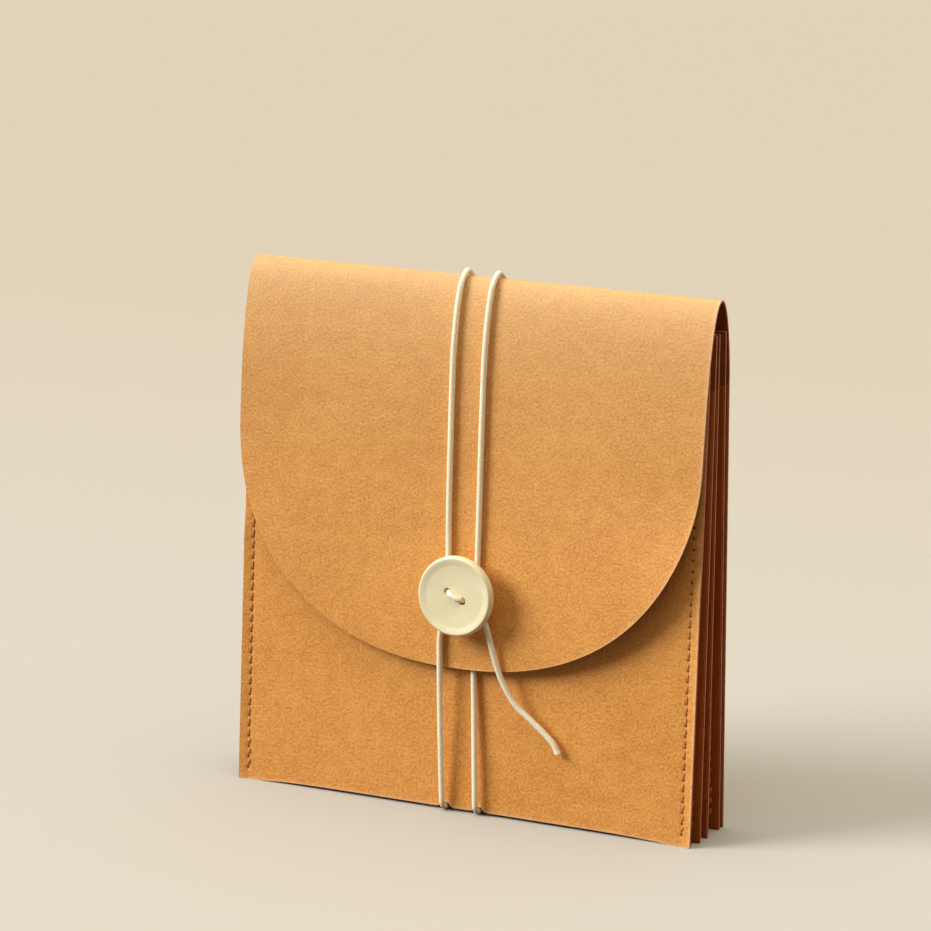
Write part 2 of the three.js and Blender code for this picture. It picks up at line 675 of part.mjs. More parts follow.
for (const [side, sign] of Object.entries(SIDES)) {
  for (const panel of PANELS) {
    const x = sign * (panel.half - SEAM_INSET);
    const isBack = panel === PANELS[PANELS.length - 1];
    if (panel === FRONT) {
      seam(`seam_front_${side}`, x, (z) => frontFace(panel, z), -1, panel.height, true);
    } else if (isBack) {
      seam(`seam_back_${side}`, x, (z) => rearFace(panel, z), 1, panel.height, true);
    } else {
      // Inside a pocket the stitches lie on the strip's flange
      const flangeFace = (z) => frontFace(panel, z) - CLEARANCE - LINING;
      seam(`seam_${panel.name}_${side}`, x, flangeFace, -1, PLEAT_TOP, false);
    }
  }
}

// The middle of the footprint is the origin: measured before the cord goes on
const footprint = new THREE.Box3().setFromObject(wallet);
const centreY = (footprint.min.y + footprint.max.y) / 2;
addMesh('cord_winding', tubeAlong(winding, CORD_RADIUS, CORD_SIDES), NATURAL_CORD);
cordTail();

const part = new THREE.Group();
wallet.position.y = -centreY;
part.add(wallet);

const millimetres = (value) => value.toFixed(3);
console.log('origin lies in front of the back panel by', millimetres(-centreY));
console.log('fold crest', millimetres(FOLD_CREST.x - centreY), millimetres(FOLD_CREST.y));
console.log('button seat', millimetres(buttonSeat.x - centreY), millimetres(buttonSeat.y));
console.log('button axis', millimetres(buttonNormal.x), millimetres(buttonNormal.y));
console.log('least gap of the winding to itself', millimetres(leastSelfGap(winding, CORD_RADIUS)));

export default part;
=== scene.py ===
# %% [markdown]
# A knitting project wallet stands on its lower edges: one tan sheet goes up the back, turns over a soft
# fold and comes down the front as a rounded flap. Four pleated pockets hide behind it, and a cord is wound
# twice round the whole and caught behind a sewn button. The frame holds the working solids of the same
# wallet, so every size below that the frame knows is read from it. The rest is written in millimetres,
# apart from what joints and materials take in metres.

# %% The frame and its box
import json
import math

import bmesh
import bpy
import numpy as np
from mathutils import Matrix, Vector


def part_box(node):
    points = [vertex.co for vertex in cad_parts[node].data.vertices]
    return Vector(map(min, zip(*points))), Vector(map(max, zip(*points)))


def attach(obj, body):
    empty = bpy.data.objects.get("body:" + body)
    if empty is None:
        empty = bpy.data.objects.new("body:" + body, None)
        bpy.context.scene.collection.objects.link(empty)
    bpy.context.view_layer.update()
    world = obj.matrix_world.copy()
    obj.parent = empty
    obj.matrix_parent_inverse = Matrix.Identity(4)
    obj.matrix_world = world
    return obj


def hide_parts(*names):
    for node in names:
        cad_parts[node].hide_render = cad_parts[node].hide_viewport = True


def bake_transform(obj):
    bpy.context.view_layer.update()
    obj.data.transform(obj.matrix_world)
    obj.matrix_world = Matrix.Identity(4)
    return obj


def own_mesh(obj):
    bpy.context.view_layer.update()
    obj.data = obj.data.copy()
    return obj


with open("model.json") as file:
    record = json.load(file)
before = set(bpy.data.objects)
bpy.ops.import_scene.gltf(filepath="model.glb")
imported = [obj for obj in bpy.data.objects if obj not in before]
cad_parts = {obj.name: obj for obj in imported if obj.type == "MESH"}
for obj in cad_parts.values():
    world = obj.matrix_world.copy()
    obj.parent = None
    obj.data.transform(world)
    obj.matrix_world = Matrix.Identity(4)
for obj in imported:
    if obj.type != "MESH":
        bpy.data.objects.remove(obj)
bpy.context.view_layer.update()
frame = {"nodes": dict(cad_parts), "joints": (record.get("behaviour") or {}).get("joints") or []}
MM = 0.001
joints = {joint["name"]: joint for joint in frame["joints"]}
print("solids in the frame:", len(frame["nodes"]), "joints:", sorted(joints))

# %% [markdown]
# The camera comes first, because everything that follows is judged through it. A long lens far away keeps
# the wallet's edges nearly parallel. Its place is given as an angle round the wallet, a height above the
# table and a distance, which is easier to read than three coordinates.

# %% The camera
PICTURE_SIZE = 931
FOCAL_PIXELS = 4497
SENSOR = 36
VIEW_AZIMUTH = 26.61
VIEW_ELEVATION = 13.96
VIEW_DISTANCE = 1488.8
VIEW_TARGET = np.array([-5.04, 5.99, 115.38])


def direction(azimuth, elevation):
    """A direction of length one, from an angle round the wallet and one above the table, in degrees."""
    azimuth, elevation = math.radians(azimuth), math.radians(elevation)
    level = math.cos(elevation)
    return Vector((math.sin(azimuth) * level, -math.cos(azimuth) * level, math.sin(elevation)))


def aim(name, data, place, back):
    """An object for a lens or a light, at a place, that looks against a direction."""
    aimed = bpy.data.objects.new(name, data)
    aimed.location = place
    aimed.rotation_mode = "QUATERNION"
    aimed.rotation_quaternion = (-back).to_track_quat("-Z", "Y")
    bpy.context.scene.collection.objects.link(aimed)
    return aimed


def add_camera():
    """A camera that looks at the target from an azimuth and an elevation."""
    back = direction(VIEW_AZIMUTH, VIEW_ELEVATION)
    lens = bpy.data.cameras.new("camera")
    lens.sensor_width = SENSOR
    lens.sensor_fit = "HORIZONTAL"
    lens.lens = SENSOR * FOCAL_PIXELS / PICTURE_SIZE
    return aim("camera", lens, Vector(VIEW_TARGET * MM) + back * VIEW_DISTANCE * MM, back)


camera = add_camera()
bpy.context.scene.camera = camera
print("lens", round(camera.data.lens, 1), "mm")

# %% [markdown]
# The panels lean, so each one is read from its box in the frame: its foot is the front of the box and its
# head the back. The cover is a chain of curves in the side view. They are the same curves that the solids
# follow: a straight rise, a bend up to the fold's crest, the shoulder down from it, and the hanging flap.

# %% Measures of the sheets
SHEET = 0.7
HALF_SHEET = SHEET / 2
CLEARANCE = 0.3
PANEL_NAMES = ["front_panel", "divider_1", "divider_2", "divider_3"]


def box_mm(node):
    """The lowest and highest corner of a solid, in millimetres."""
    low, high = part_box(node)
    return np.array(low) / MM, np.array(high) / MM


back_high = box_mm("back_panel")[1]
HALF_WIDTH = back_high[0]
FOLD_HEIGHT = back_high[2]
BACK_Y = back_high[1] - HALF_SHEET
FLAP_END = box_mm("flap")[0][2]
CREST = np.array([joints["flap_fold"]["pos_m"][1] / MM, FOLD_HEIGHT - HALF_SHEET])


def read_panel(node):
    """Foot, head and height of a leaning panel's middle."""
    low, high = box_mm(node)
    return {"foot": low[1] + HALF_SHEET, "head": high[1] - HALF_SHEET, "height": high[2]}


BACK_BEND = 27
BACK_STRAIGHT = FOLD_HEIGHT - BACK_BEND
PANELS = {name: read_panel(name) for name in PANEL_NAMES}
PANELS["back_panel"] = {"foot": BACK_Y, "head": BACK_Y, "height": BACK_STRAIGHT}


def panel_y(name, z):
    """Depth of a panel's middle at a height: a straight line from foot to head."""
    panel = PANELS[name]
    return panel["foot"] + (panel["head"] - panel["foot"]) * z / panel["height"]


print("depths at the foot", {name: round(float(panel["foot"]), 2) for name, panel in PANELS.items()})

# %% The curves of the cover
SHOULDER_DROP = 25
SHOULDER_GAP = 1.1
FLAP_GAP = 2.95
HANG_PULL = 24
BACK_PULL = (13, 4)
SHOULDER_PULL = (4.5, 10)


def bezier(handles, t):
    """A curve through its first and last handle, weighted by Bernstein's polynomials."""
    degree = len(handles) - 1
    weights = [math.comb(degree, k) * t**k * (1 - t) ** (degree - k) for k in range(degree + 1)]
    return sum(weight[:, None] * np.asarray(handle, float) for weight, handle in zip(weights, handles))


def flap_point(z, gap):
    """A point of the flap's middle, in front of the front panel by a gap of air."""
    return np.array([panel_y("front_panel", z) - SHEET - gap, z])


shoulder_end = flap_point(FOLD_HEIGHT - SHOULDER_DROP, SHOULDER_GAP)
hang_handle = flap_point(FOLD_HEIGHT - SHOULDER_DROP - HANG_PULL, FLAP_GAP)
flap_tip = flap_point(FLAP_END, FLAP_GAP)
hang_slope = (shoulder_end - hang_handle) / np.linalg.norm(shoulder_end - hang_handle)
CURVES = {
    "rise": [(BACK_Y, 0), (BACK_Y, BACK_STRAIGHT)],
    "bend": [
        (BACK_Y, BACK_STRAIGHT),
        (BACK_Y, BACK_STRAIGHT + BACK_PULL[0]),
        (CREST[0] + BACK_PULL[1], CREST[1]),
        CREST,
    ],
    "shoulder": [
        CREST,
        (CREST[0] - SHOULDER_PULL[0], CREST[1]),
        shoulder_end + hang_slope * SHOULDER_PULL[1],
        shoulder_end,
    ],
    "hang": [shoulder_end, hang_handle, flap_tip],
}
print("curves of the cover", list(CURVES))

# %% The cover's side view as one line, measured along its length
CURVE_SAMPLES = 500


def lengths_along(line):
    """The length from a line's start to each of its points."""
    return np.concatenate([[0], np.cumsum(np.linalg.norm(np.diff(line, axis=0), axis=1))])


stretches = [bezier(handles, np.linspace(0, 1, CURVE_SAMPLES)) for handles in CURVES.values()]
cover_line = np.concatenate([stretch[1 if i else 0:] for i, stretch in enumerate(stretches)])
cover_s = lengths_along(cover_line)
STATIONS = cover_s[np.arange(len(stretches) + 1) * (CURVE_SAMPLES - 1)]
RISE_END, FOLD_CREST, HANG_START = STATIONS[1:4]
COVER_LENGTH = cover_s[-1]
line_slope = np.gradient(cover_line, cover_s, axis=0)
line_slope /= np.linalg.norm(line_slope, axis=1)[:, None]


def cover_at(s):
    """Depth and height of the cover at a length along it, and the direction out of it there."""
    y, z = (np.interp(s, cover_s, cover_line[:, k]) for k in (0, 1))
    along_y, along_z = (np.interp(s, cover_s, line_slope[:, k]) for k in (0, 1))
    return np.stack([y, z], axis=-1), np.stack([along_z, -along_y], axis=-1)


def hang_station(z):
    """The length along the cover where the hanging flap has a height."""
    hanging = slice(list(CURVES).index("hang") * (CURVE_SAMPLES - 1), None)
    return np.interp(-np.asarray(z, float), -cover_line[hanging, 1], cover_s[hanging])


print("cover sheet", round(2 * HALF_WIDTH, 1), "x", round(COVER_LENGTH, 1), "mm")

# %% [markdown]
# The cord is one piece, about 85 cm long. It starts at the knot under the flap, goes round the wallet,
# passes behind the button, goes round once more, passes behind the button again and ends in a loose tail.
# Its points are given one by one where it crosses and lies free, and follow the cover's curves where it is
# laid on the cover. A spline through the points gives the middle line. A round section with three twisted
# plies is carried along it.

# %% The cord's two turns
CORD_RADIUS = 1
CORD_BEND = 3
CROSSING_LIFT = 2.6
FLOOR_GAP = 0.05
FOOT_SLACK = 0.7
FOLD_EASE = 0.15
CORNER_STEPS = 4
FOLD_STEPS = 7
CORD_OFFSET = HALF_SHEET + CLEARANCE + CORD_RADIUS
CORD_X = {"foot": (6.8, -5.5), "top": (5.4, -6), "button": (6.3, -4.6)}
BACK_SHARES = (0.4, 0.75, 1)
FLAP_SHARES = (0.35, 0.7)
SEAT = np.array(joints["button_turn"]["pos_m"]) / MM
BUTTON_AXIS = np.array(joints["button_turn"]["axis"])
BUTTON_AXIS /= np.linalg.norm(BUTTON_AXIS)
FRONT_Y = PANELS["front_panel"]["foot"] - CORD_OFFSET - FOOT_SLACK
REAR_Y = BACK_Y + CORD_OFFSET + FOOT_SLACK
FLOOR_Z = CORD_RADIUS + FLOOR_GAP


def on_cover(x, s, lift):
    """Points lifted off the cover's middle, at places across and lengths along it."""
    place, out = cover_at(np.asarray(s, float))
    place = place + out * np.asarray(lift, float)[..., None]
    return np.stack([np.broadcast_to(x, place.shape[:-1]), place[..., 0], place[..., 1]], axis=-1)


def cord_turn(turn):
    """One turn: round both lower corners, up the back, over the fold and down to the button."""
    foot, top, end = (CORD_X[place][turn] for place in ("foot", "top", "button"))
    quarter = np.linspace(0, math.pi / 2, CORNER_STEPS + 1)
    corners = []
    for y, start in ((FRONT_Y + CORD_BEND, math.pi), (REAR_Y - CORD_BEND, 1.5 * math.pi)):
        angle = start + quarter
        corner_y = y + CORD_BEND * np.cos(angle)
        corner_z = FLOOR_Z + CORD_BEND + CORD_BEND * np.sin(angle)
        corners.append(np.stack([np.full_like(angle, foot), corner_y, corner_z], axis=1))
    share = np.array(BACK_SHARES)
    rise = on_cover(foot + (top - foot) * share, RISE_END * share, CORD_OFFSET)
    step = np.arange(1, FOLD_STEPS + 1) / FOLD_STEPS
    lift = CORD_OFFSET + FOLD_EASE
    bend = on_cover(top, RISE_END + (FOLD_CREST - RISE_END) * step, lift)
    shoulder = on_cover(top, FOLD_CREST + (HANG_START - FOLD_CREST) * step, lift)
    share = np.array(FLAP_SHARES)
    down = HANG_START + (hang_station(SEAT[2]) - HANG_START) * share
    return [*corners, rise, bend, shoulder, on_cover(top + (end - top) * share, down, CORD_OFFSET)]


print("cord lies", round(CORD_OFFSET, 2), "mm off the middle of the sheet")

# %% The cord behind the button and its loose end
# Across, up, and how far off the flap as a share of the crossing's lift, from the button's middle
FIRST_PASS = [
    (4.7, 9.5, 0), (4.9, 4, 0), (5.3, -1.3, 0), (3.4, -5.4, 0),
    (-0.8, -8, 0), (-5, -9.8, 0), (-7.6, -12.3, 0), (-8.2, -15.8, 0),
]
SECOND_PASS = [
    (-6, 11, 0), (-5.8, 5.5, 0.1), (-5.4, 1.5, 0.3), (-3.9, -1.8, 0.7),
    (-0.5, -3.9, 1), (3.7, -4.7, 1), (7.2, -6, 1), (9.2, -8.2, 1), (10.1, -10.3, 1),
]
OVER_EDGE_X = -6.6
HIDDEN_START = [(2.4, -5.5), (3.2, -16.5)]
HIDDEN_EDGE_X = 4.2
TAIL_POINTS = [
    (12.6, -27, 60.3), (14.8, -26.6, 52.5), (16.8, -26.1, 47.2), (21, -25.6, 40.4),
    (26.3, -25.2, 35.9), (31, -24.9, 32), (34.5, -24.8, 28.6), (36.3, -24.8, 25.4),
]


def behind_button(points):
    """Points given across, up and off the flap, from the button's middle."""
    across, up, share = np.array(points, float).T
    return on_cover(SEAT[0] + across, hang_station(SEAT[2] + up), CORD_OFFSET + share * CROSSING_LIFT)


def under_flap(x, z):
    """A point halfway between the flap and the front panel."""
    inside = cover_at(hang_station(z))[0][0] + HALF_SHEET
    return (x, (inside + panel_y("front_panel", z) - HALF_SHEET) / 2, z)


def cord_route():
    """The whole route, from the knot to the cut end."""
    start = [under_flap(x, SEAT[2] + up) for x, up in HIDDEN_START]
    start.append(under_flap(HIDDEN_EDGE_X, FLAP_END))
    edge = on_cover(OVER_EDGE_X, [COVER_LENGTH], CORD_OFFSET)
    tail = np.array(TAIL_POINTS) + (0, BACK_Y, 0)
    return np.concatenate([
        np.array(start), *cord_turn(0), behind_button(FIRST_PASS), edge,
        *cord_turn(1), behind_button(SECOND_PASS), tail,
    ])


print("points of the route", len(cord_route()))

# %% A smooth line through the route
SPLINE_SAMPLES = 40
CORD_SPACING = 0.5


def spline(points, spacing):
    """A smooth line through points: cubic pieces with slopes from the neighbours, evenly resampled."""
    chord = np.concatenate([[0], np.cumsum(np.sqrt(np.linalg.norm(np.diff(points, axis=0), axis=1)))])
    slope = np.gradient(points, chord, axis=0)
    fine = np.linspace(0, chord[-1], SPLINE_SAMPLES * len(points))
    i = np.clip(np.searchsorted(chord, fine, side="right") - 1, 0, len(points) - 2)
    width = (chord[i + 1] - chord[i])[:, None]
    t = (fine - chord[i])[:, None] / width
    line = (
        (1 + 2 * t) * (1 - t) ** 2 * points[i]
        + t * (1 - t) ** 2 * width * slope[i]
        + t**2 * (3 - 2 * t) * points[i + 1]
        + t**2 * (t - 1) * width * slope[i + 1]
    )
    length = lengths_along(line)
    even = np.linspace(0, length[-1], max(2, round(length[-1] / spacing)))
    return np.stack([np.interp(even, length, line[:, k]) for k in range(3)], axis=1)


def line_length(line):
    """The sum of a line's steps."""
    return np.linalg.norm(np.diff(line, axis=0), axis=1).sum()


cord_line = spline(cord_route(), CORD_SPACING)
CORD_LENGTH = line_length(cord_line)
print("cord length", round(CORD_LENGTH, 1), "mm in", len(cord_line), "steps")

# %% [markdown]
# A mesh is points and faces. These helpers number the faces of a grid, close it, and hand it to Blender in
# one go. Every piece keeps its place in its mesh and its object at the origin. A map in real lengths goes
# along, so that grain and twist have the same size on every piece.

# %% Helpers that turn grids into pieces
SMOOTH_ANGLE = math.radians(40)


def grid_faces(rows, columns, closed=False):
    """Four-sided faces of a grid whose points are numbered along its rows. A closed grid joins its last
    column to its first."""
    across = np.arange(columns if closed else columns - 1)
    along = np.arange(rows - 1)[:, None] * columns
    after = (across + 1) % columns
    corners = [along + across, along + after, along + columns + after, along + columns + across]
    return np.stack([corner.ravel() for corner in corners], axis=1)


def signed_volume(points, faces):
    """Six times the volume inside a closed surface: positive where its faces point out."""
    a, b, c, d = (points[faces[:, k]] for k in range(4))
    return np.einsum("ij,ij->", a, np.cross(b, c)) + np.einsum("ij,ij->", a, np.cross(c, d))


def new_piece(name, points, faces, uv=None, values=None, material_index=None):
    """A piece from points in millimetres, with a map in metres and named values on its points."""
    points = np.asarray(points, float)
    faces = np.asarray(faces)
    if signed_volume(points, faces) < 0:
        faces = faces[:, ::-1]
    mesh = bpy.data.meshes.new(name)
    mesh.from_pydata((points * MM).tolist(), [], faces.tolist())
    if uv is not None:
        layer = mesh.uv_layers.new(name="cut")
        layer.data.foreach_set("uv", (np.asarray(uv, float) * MM)[faces.ravel()].astype(np.float32).ravel())
    for key, value in (values or {}).items():
        value = np.asarray(value, np.float32)
        attribute = mesh.attributes.new(key, "FLOAT" if value.ndim == 1 else "FLOAT_VECTOR", "POINT")
        attribute.data.foreach_set("value" if value.ndim == 1 else "vector", value.ravel())
    if material_index is not None:
        mesh.polygons.foreach_set("material_index", np.asarray(material_index, np.int32))
    mesh.shade_smooth()
    mesh.set_sharp_from_angle(angle=SMOOTH_ANGLE)
    mesh.validate()
    piece = bpy.data.objects.new(name, mesh)
    bpy.context.scene.collection.objects.link(piece)
    return piece


print("edges sharper than", round(math.degrees(SMOOTH_ANGLE)), "degrees stay sharp")

# %% [markdown]
# Cord, thread and loop are tubes: a ring of points is carried along a line. A strand of plies has a ring
# whose radius waves, and the wave turns as it goes. A tube also keeps, for each point, its place in a
# straight rod that isn't twisted. The fibres are drawn there later, and so they follow the plies.

# %% Tubes
TINY = 1e-12
PLIES = 3
PLY_RELIEF = 0.035


def unit(vectors):
    """Vectors of length one."""
    return vectors / np.maximum(np.linalg.norm(vectors, axis=-1, keepdims=True), TINY)


def tube(line, radius, sides, across):
    """Rings round a line. Each ring lies square to the line and starts at the direction called across. The
    radius is a value, or an array by ring and side."""
    along = unit(np.gradient(line, axis=0))
    first = unit(across - (along @ across)[:, None] * along)
    second = np.cross(along, first)
    angle = np.linspace(0, 2 * math.pi, sides, endpoint=False)
    cosine, sine = np.cos(angle)[None, :, None], np.sin(angle)[None, :, None]
    spokes = first[:, None] * cosine + second[:, None] * sine
    return line[:, None] + spokes * np.broadcast_to(radius, (len(line), sides))[..., None]


def twist_map(rows, sides, radius, length, twist):
    """Places in a straight rod of the same length whose plies don't turn: round it against the twist, and
    along. The angles round the rod come first."""
    along = np.linspace(0, length, rows)[:, None]
    phase = np.linspace(0, 2 * math.pi, sides, endpoint=False)[None, :] - 2 * math.pi * along / twist
    along = np.broadcast_to(along, phase.shape)
    return phase, np.stack([radius * np.cos(phase), radius * np.sin(phase), along], axis=-1)


def ply_wave(phase):
    """The radius of a twisted strand, as a share: a cosine that has one crest for each ply."""
    return 1 - PLY_RELIEF + PLY_RELIEF * np.cos(PLIES * phase)


def tube_faces(rows, sides):
    """Faces of a tube and of its two caps, whose middle points are numbered after the rings."""
    side = np.arange(0, sides, 2)
    after, third = (side + 1) % sides, (side + 2) % sides
    last = (rows - 1) * sides
    start, end = (np.full_like(side, rows * sides + k) for k in (0, 1))
    start_cap = np.stack([start, third, after, side], axis=1)
    end_cap = np.stack([end, last + side, last + after, last + third], axis=1)
    return np.concatenate([grid_faces(rows, sides, closed=True), start_cap, end_cap])


def tube_piece(name, rings, places):
    """A tube from its rings, with a point in the middle of each end so that the caps are closed. Its places
    in a straight rod go along as a value called twist."""
    points = np.concatenate([rings.reshape(-1, 3), [rings[0].mean(0)], [rings[-1].mean(0)]])
    twist = np.concatenate([places.reshape(-1, 3), [places[0].mean(0)], [places[-1].mean(0)]]) * MM
    return new_piece(name, points, tube_faces(*rings.shape[:2]), values={"twist": twist})


print("plies in a strand", PLIES)

# %% The cord
CORD_SIDES = 18
TWIST_LENGTH = 3.9
FRAY_LENGTH = 2.2
FRAY_SWELL = 0.16


def cord_rings():
    """Rings whose radius waves with the plies, once round in a twist length. The cut end swells."""
    phase, places = twist_map(len(cord_line), CORD_SIDES, CORD_RADIUS, CORD_LENGTH, TWIST_LENGTH)
    to_end = CORD_LENGTH - places[..., 2]
    swell = FRAY_SWELL * np.clip(1 - to_end / FRAY_LENGTH, 0, 1) ** 2
    radius = CORD_RADIUS * ply_wave(phase) * (1 + swell)
    return tube(cord_line, radius, CORD_SIDES, np.array([1.0, 0, 0])), places


cord = tube_piece("cord", *cord_rings())
print("cord faces", len(cord.data.polygons))

# %% [markdown]
# All panels are cut from the same sheet. A sheet is a middle surface with an outward direction at every
# point: the two faces lie half a thickness to either side, and a rounded strip closes the cut edge. Outer
# face, cut edge and inner face get finishes of their own, because the cut shows the paler core and the
# inner face is painted darker, as painted shade. The finishes also need to know how deep a point is pressed
# in, how far it is from the rim and how near to the fold.

# %% Closed sheets
OUTER, EDGE, INNER = 0, 1, 2
EDGE_ROUND = 0.12
PIT_DEPTH = 0.34
FAR_FROM_RIM = 99.0


def border(rows, columns):
    """Numbers of the points once round a grid."""
    number = np.arange(rows * columns).reshape(rows, columns)
    return np.concatenate([number[0, :-1], number[:-1, -1], number[-1, :0:-1], number[:0:-1, 0]])


def sheet_piece(name, middle, out, uv, thickness=SHEET, dent=None, rim_distance=None, highlight=None):
    """A closed sheet: outer face, inner face, and two strips that round the edge between them."""
    rows, columns = middle.shape[:2]
    count = rows * columns
    dent = np.zeros((rows, columns)) if dent is None else dent
    outer = middle + out * (thickness / 2 - dent)[..., None]
    inner = middle - out * (thickness / 2)
    away = np.zeros_like(middle)
    away[0] += unit(middle[0] - middle[1])
    away[-1] += unit(middle[-1] - middle[-2])
    away[:, 0] += unit(middle[:, 0] - middle[:, 1])
    away[:, -1] += unit(middle[:, -1] - middle[:, -2])
    rim = border(rows, columns)
    edge = (middle + EDGE_ROUND * unit(away)).reshape(-1, 3)[rim]
    points = np.concatenate([outer.reshape(-1, 3), inner.reshape(-1, 3), edge])
    k = np.arange(len(rim))
    after = np.roll(k, -1)
    middle_rim = 2 * count + k
    outer_strip = np.stack([rim[after], rim[k], middle_rim[k], middle_rim[after]], axis=1)
    inner_strip = np.stack([middle_rim[after], middle_rim[k], count + rim[k], count + rim[after]], axis=1)
    face = grid_faces(rows, columns)
    faces = np.concatenate([face, face[:, ::-1] + count, outer_strip, inner_strip])
    uv = uv.reshape(-1, 2)
    distance = np.full(count, FAR_FROM_RIM) if rim_distance is None else rim_distance.ravel()
    highlight = np.zeros(count) if highlight is None else highlight.ravel()
    values = {
        "stitch_pit": np.concatenate([dent.ravel() / PIT_DEPTH, np.zeros(count + len(rim))]),
        "rim_distance": np.concatenate([distance, distance, distance[rim]]),
        # This value places the painted highlight near the fold.
        "painted_fold_highlight": np.concatenate([highlight, highlight, highlight[rim]]),
    }
    index = np.repeat([OUTER, INNER, EDGE], [len(face), len(face), 2 * len(rim)])
    return new_piece(name, points, faces, np.concatenate([uv, uv, uv[rim]]), values, index)


print("a sheet is", SHEET, "mm thick")

# %% [markdown]
# Thread pulls small pits into the sheet, so a seam is pressed into the outer face as a groove with a pit at
# every hole. A panel's foot is cut in a low arch and has a notch for each turn of the cord, so that the
# wallet stands on its corners. Both need points that lie close together, so the columns of a panel crowd at
# its seams and cords.

# %% Seams and feet of the panels
STITCH_PITCH = 3.6
GROOVE_DEPTH = 0.1
GROOVE_WIDTH = 0.5
PIT_RADIUS = 0.66
SEAM_INSET = 3.3
SEAM_X = HALF_WIDTH - SEAM_INSET
SEAM_COLUMNS = np.array([-1.4, -1, -0.75, -0.5, -0.25, 0, 0.25, 0.5, 0.75, 1, 1.4])
SEAM_ROOM = 1.8
CORD_COLUMNS = np.array([-3.6, -2.8, -2.4, -2, -1.6, -1, 0, 1, 1.6, 2, 2.4, 2.8, 3.6])
CORD_ROOM = 5
ARCH_RISE = 1
ARCH_FOOT = 9
ARCH_HALF_SPAN = round(HALF_WIDTH, 3) - ARCH_FOOT
ARCH_FLATNESS = 8
ARCH_FADE = 30
NOTCH_RISE = 1.65
NOTCH_HALF_WIDTH = 2


def seam_holes(node):
    """Heights of a seam's holes: as many whole stitches as fit, evenly spread."""
    low, high = box_mm(node)
    count = max(1, math.floor((high[2] - low[2]) / STITCH_PITCH))
    return np.linspace(low[2], high[2], count + 1)


def seam_dent(x, z, holes, seam_x):
    """Depth that the side seams press into a face: a groove along each, and a round pit at every hole."""
    off = np.abs(x) - seam_x
    inside = (z > holes[0] - PIT_RADIUS) & (z < holes[-1] + PIT_RADIUS)
    halfway = 0.5 * (holes[1:] + holes[:-1])
    nearest = holes[np.clip(np.searchsorted(halfway, z), 0, len(holes) - 1)]
    groove = GROOVE_DEPTH * np.exp(-((off / GROOVE_WIDTH) ** 2))
    pit = PIT_DEPTH * np.exp(-(off**2 + (z - nearest) ** 2) / PIT_RADIUS**2)
    return np.where(inside, np.maximum(groove, pit), 0)


def columns_across(coarse, half_width, seam_x=None):
    """Places across a panel: even ones, and close ones at the two cords and at both side seams."""
    close = [x + CORD_COLUMNS for x in CORD_X["foot"]]
    even = np.linspace(-half_width, half_width, coarse)
    even = even[np.min([np.abs(even - x) for x in CORD_X["foot"]], axis=0) > CORD_ROOM]
    if seam_x is not None:
        close += [seam_x + SEAM_COLUMNS, -seam_x - SEAM_COLUMNS]
        even = even[np.abs(np.abs(even) - seam_x) > SEAM_ROOM]
    return np.sort(np.concatenate([even, *close]))


def arch(x, notch=NOTCH_HALF_WIDTH):
    """Rise of the lower edges over the cord: a low, flat arch, and a notch for each turn."""
    wide = ARCH_RISE * (1 - np.clip(np.abs(x) / ARCH_HALF_SPAN, 0, 1) ** ARCH_FLATNESS)
    notches = sum(np.exp(-(((x - cord_x) / notch) ** 4)) for cord_x in CORD_X["foot"])
    return wide + NOTCH_RISE * notches


def above_arch(x, z):
    """Heights of a panel's points: near the lower edge they are pushed up by the arch."""
    return z + arch(x) * np.clip(1 - z / ARCH_FADE, 0, 1)


print("stitches in the back's seam", len(seam_holes("seam_back_left")) - 1)

# %% [markdown]
# The cover is back panel, fold and flap in one. Its rows run across at lengths along the sheet, and each
# row is as wide as the cut is there: full width up to the flap's round, then a superellipse down to the
# tip. The cord holds the flap down in its middle, so its sides stand off like wings. The fold is painted
# paler as a highlight, and the edges are painted paler, partly as rubbing and partly as a highlight, but
# less along the flap's left side.

# %% The cover sheet
FLAP_ROUND = 76.5
FLAP_SQUARENESS = 2.22
FLAP_SKEW = 0.0153
WING_LIFT = (-1.2, 5)
WING_START = (150, 122)
WING_FULL = (112, 74)
WING_POWER = 1.6
ROUND_LAST = math.radians(89)
BACK_ROW_STEP = 0.55
FOLD_ROW_STEP = 0.9
HANG_ROWS = 16
ROUND_ROWS = 72
COVER_COLUMNS = 53
# Reach of the painted highlight at the fold
FOLD_HIGHLIGHT_REACH = 45
# How much further from the rim the flap's left side counts: less paler edge and a darker painted cut edge
# there
LEFT_RIM_OFFSET = 6


def cover_rows():
    """Lengths along the cover, and the half width of the cut at each."""
    round_start = FLAP_END + FLAP_ROUND
    straight = [
        np.arange(0, RISE_END, BACK_ROW_STEP),
        np.arange(RISE_END, HANG_START, FOLD_ROW_STEP),
        np.linspace(HANG_START, hang_station(round_start), HANG_ROWS)[:-1],
    ]
    drop = np.sin(np.linspace(0, ROUND_LAST, ROUND_ROWS))
    width = (1 - drop**FLAP_SQUARENESS) ** (1 / FLAP_SQUARENESS)
    rounded = hang_station(round_start - FLAP_ROUND * drop)
    full = np.concatenate(straight)
    return np.concatenate([full, rounded]), HALF_WIDTH * np.concatenate([np.ones_like(full), width])


def flap_wings(x, s):
    """How far the flap stands off beside the cord: a power of the place across, which grows in an S from
    one height to another. The right side stands off further."""
    sides = (hang_station(WING_START), hang_station(WING_FULL), WING_LIFT)
    start, end, lift = (np.where(x < 0, *pair) for pair in sides)
    t = np.clip((s - start) / (end - start), 0, 1)
    return lift * np.abs(x / HALF_WIDTH) ** WING_POWER * t**2 * (3 - 2 * t)


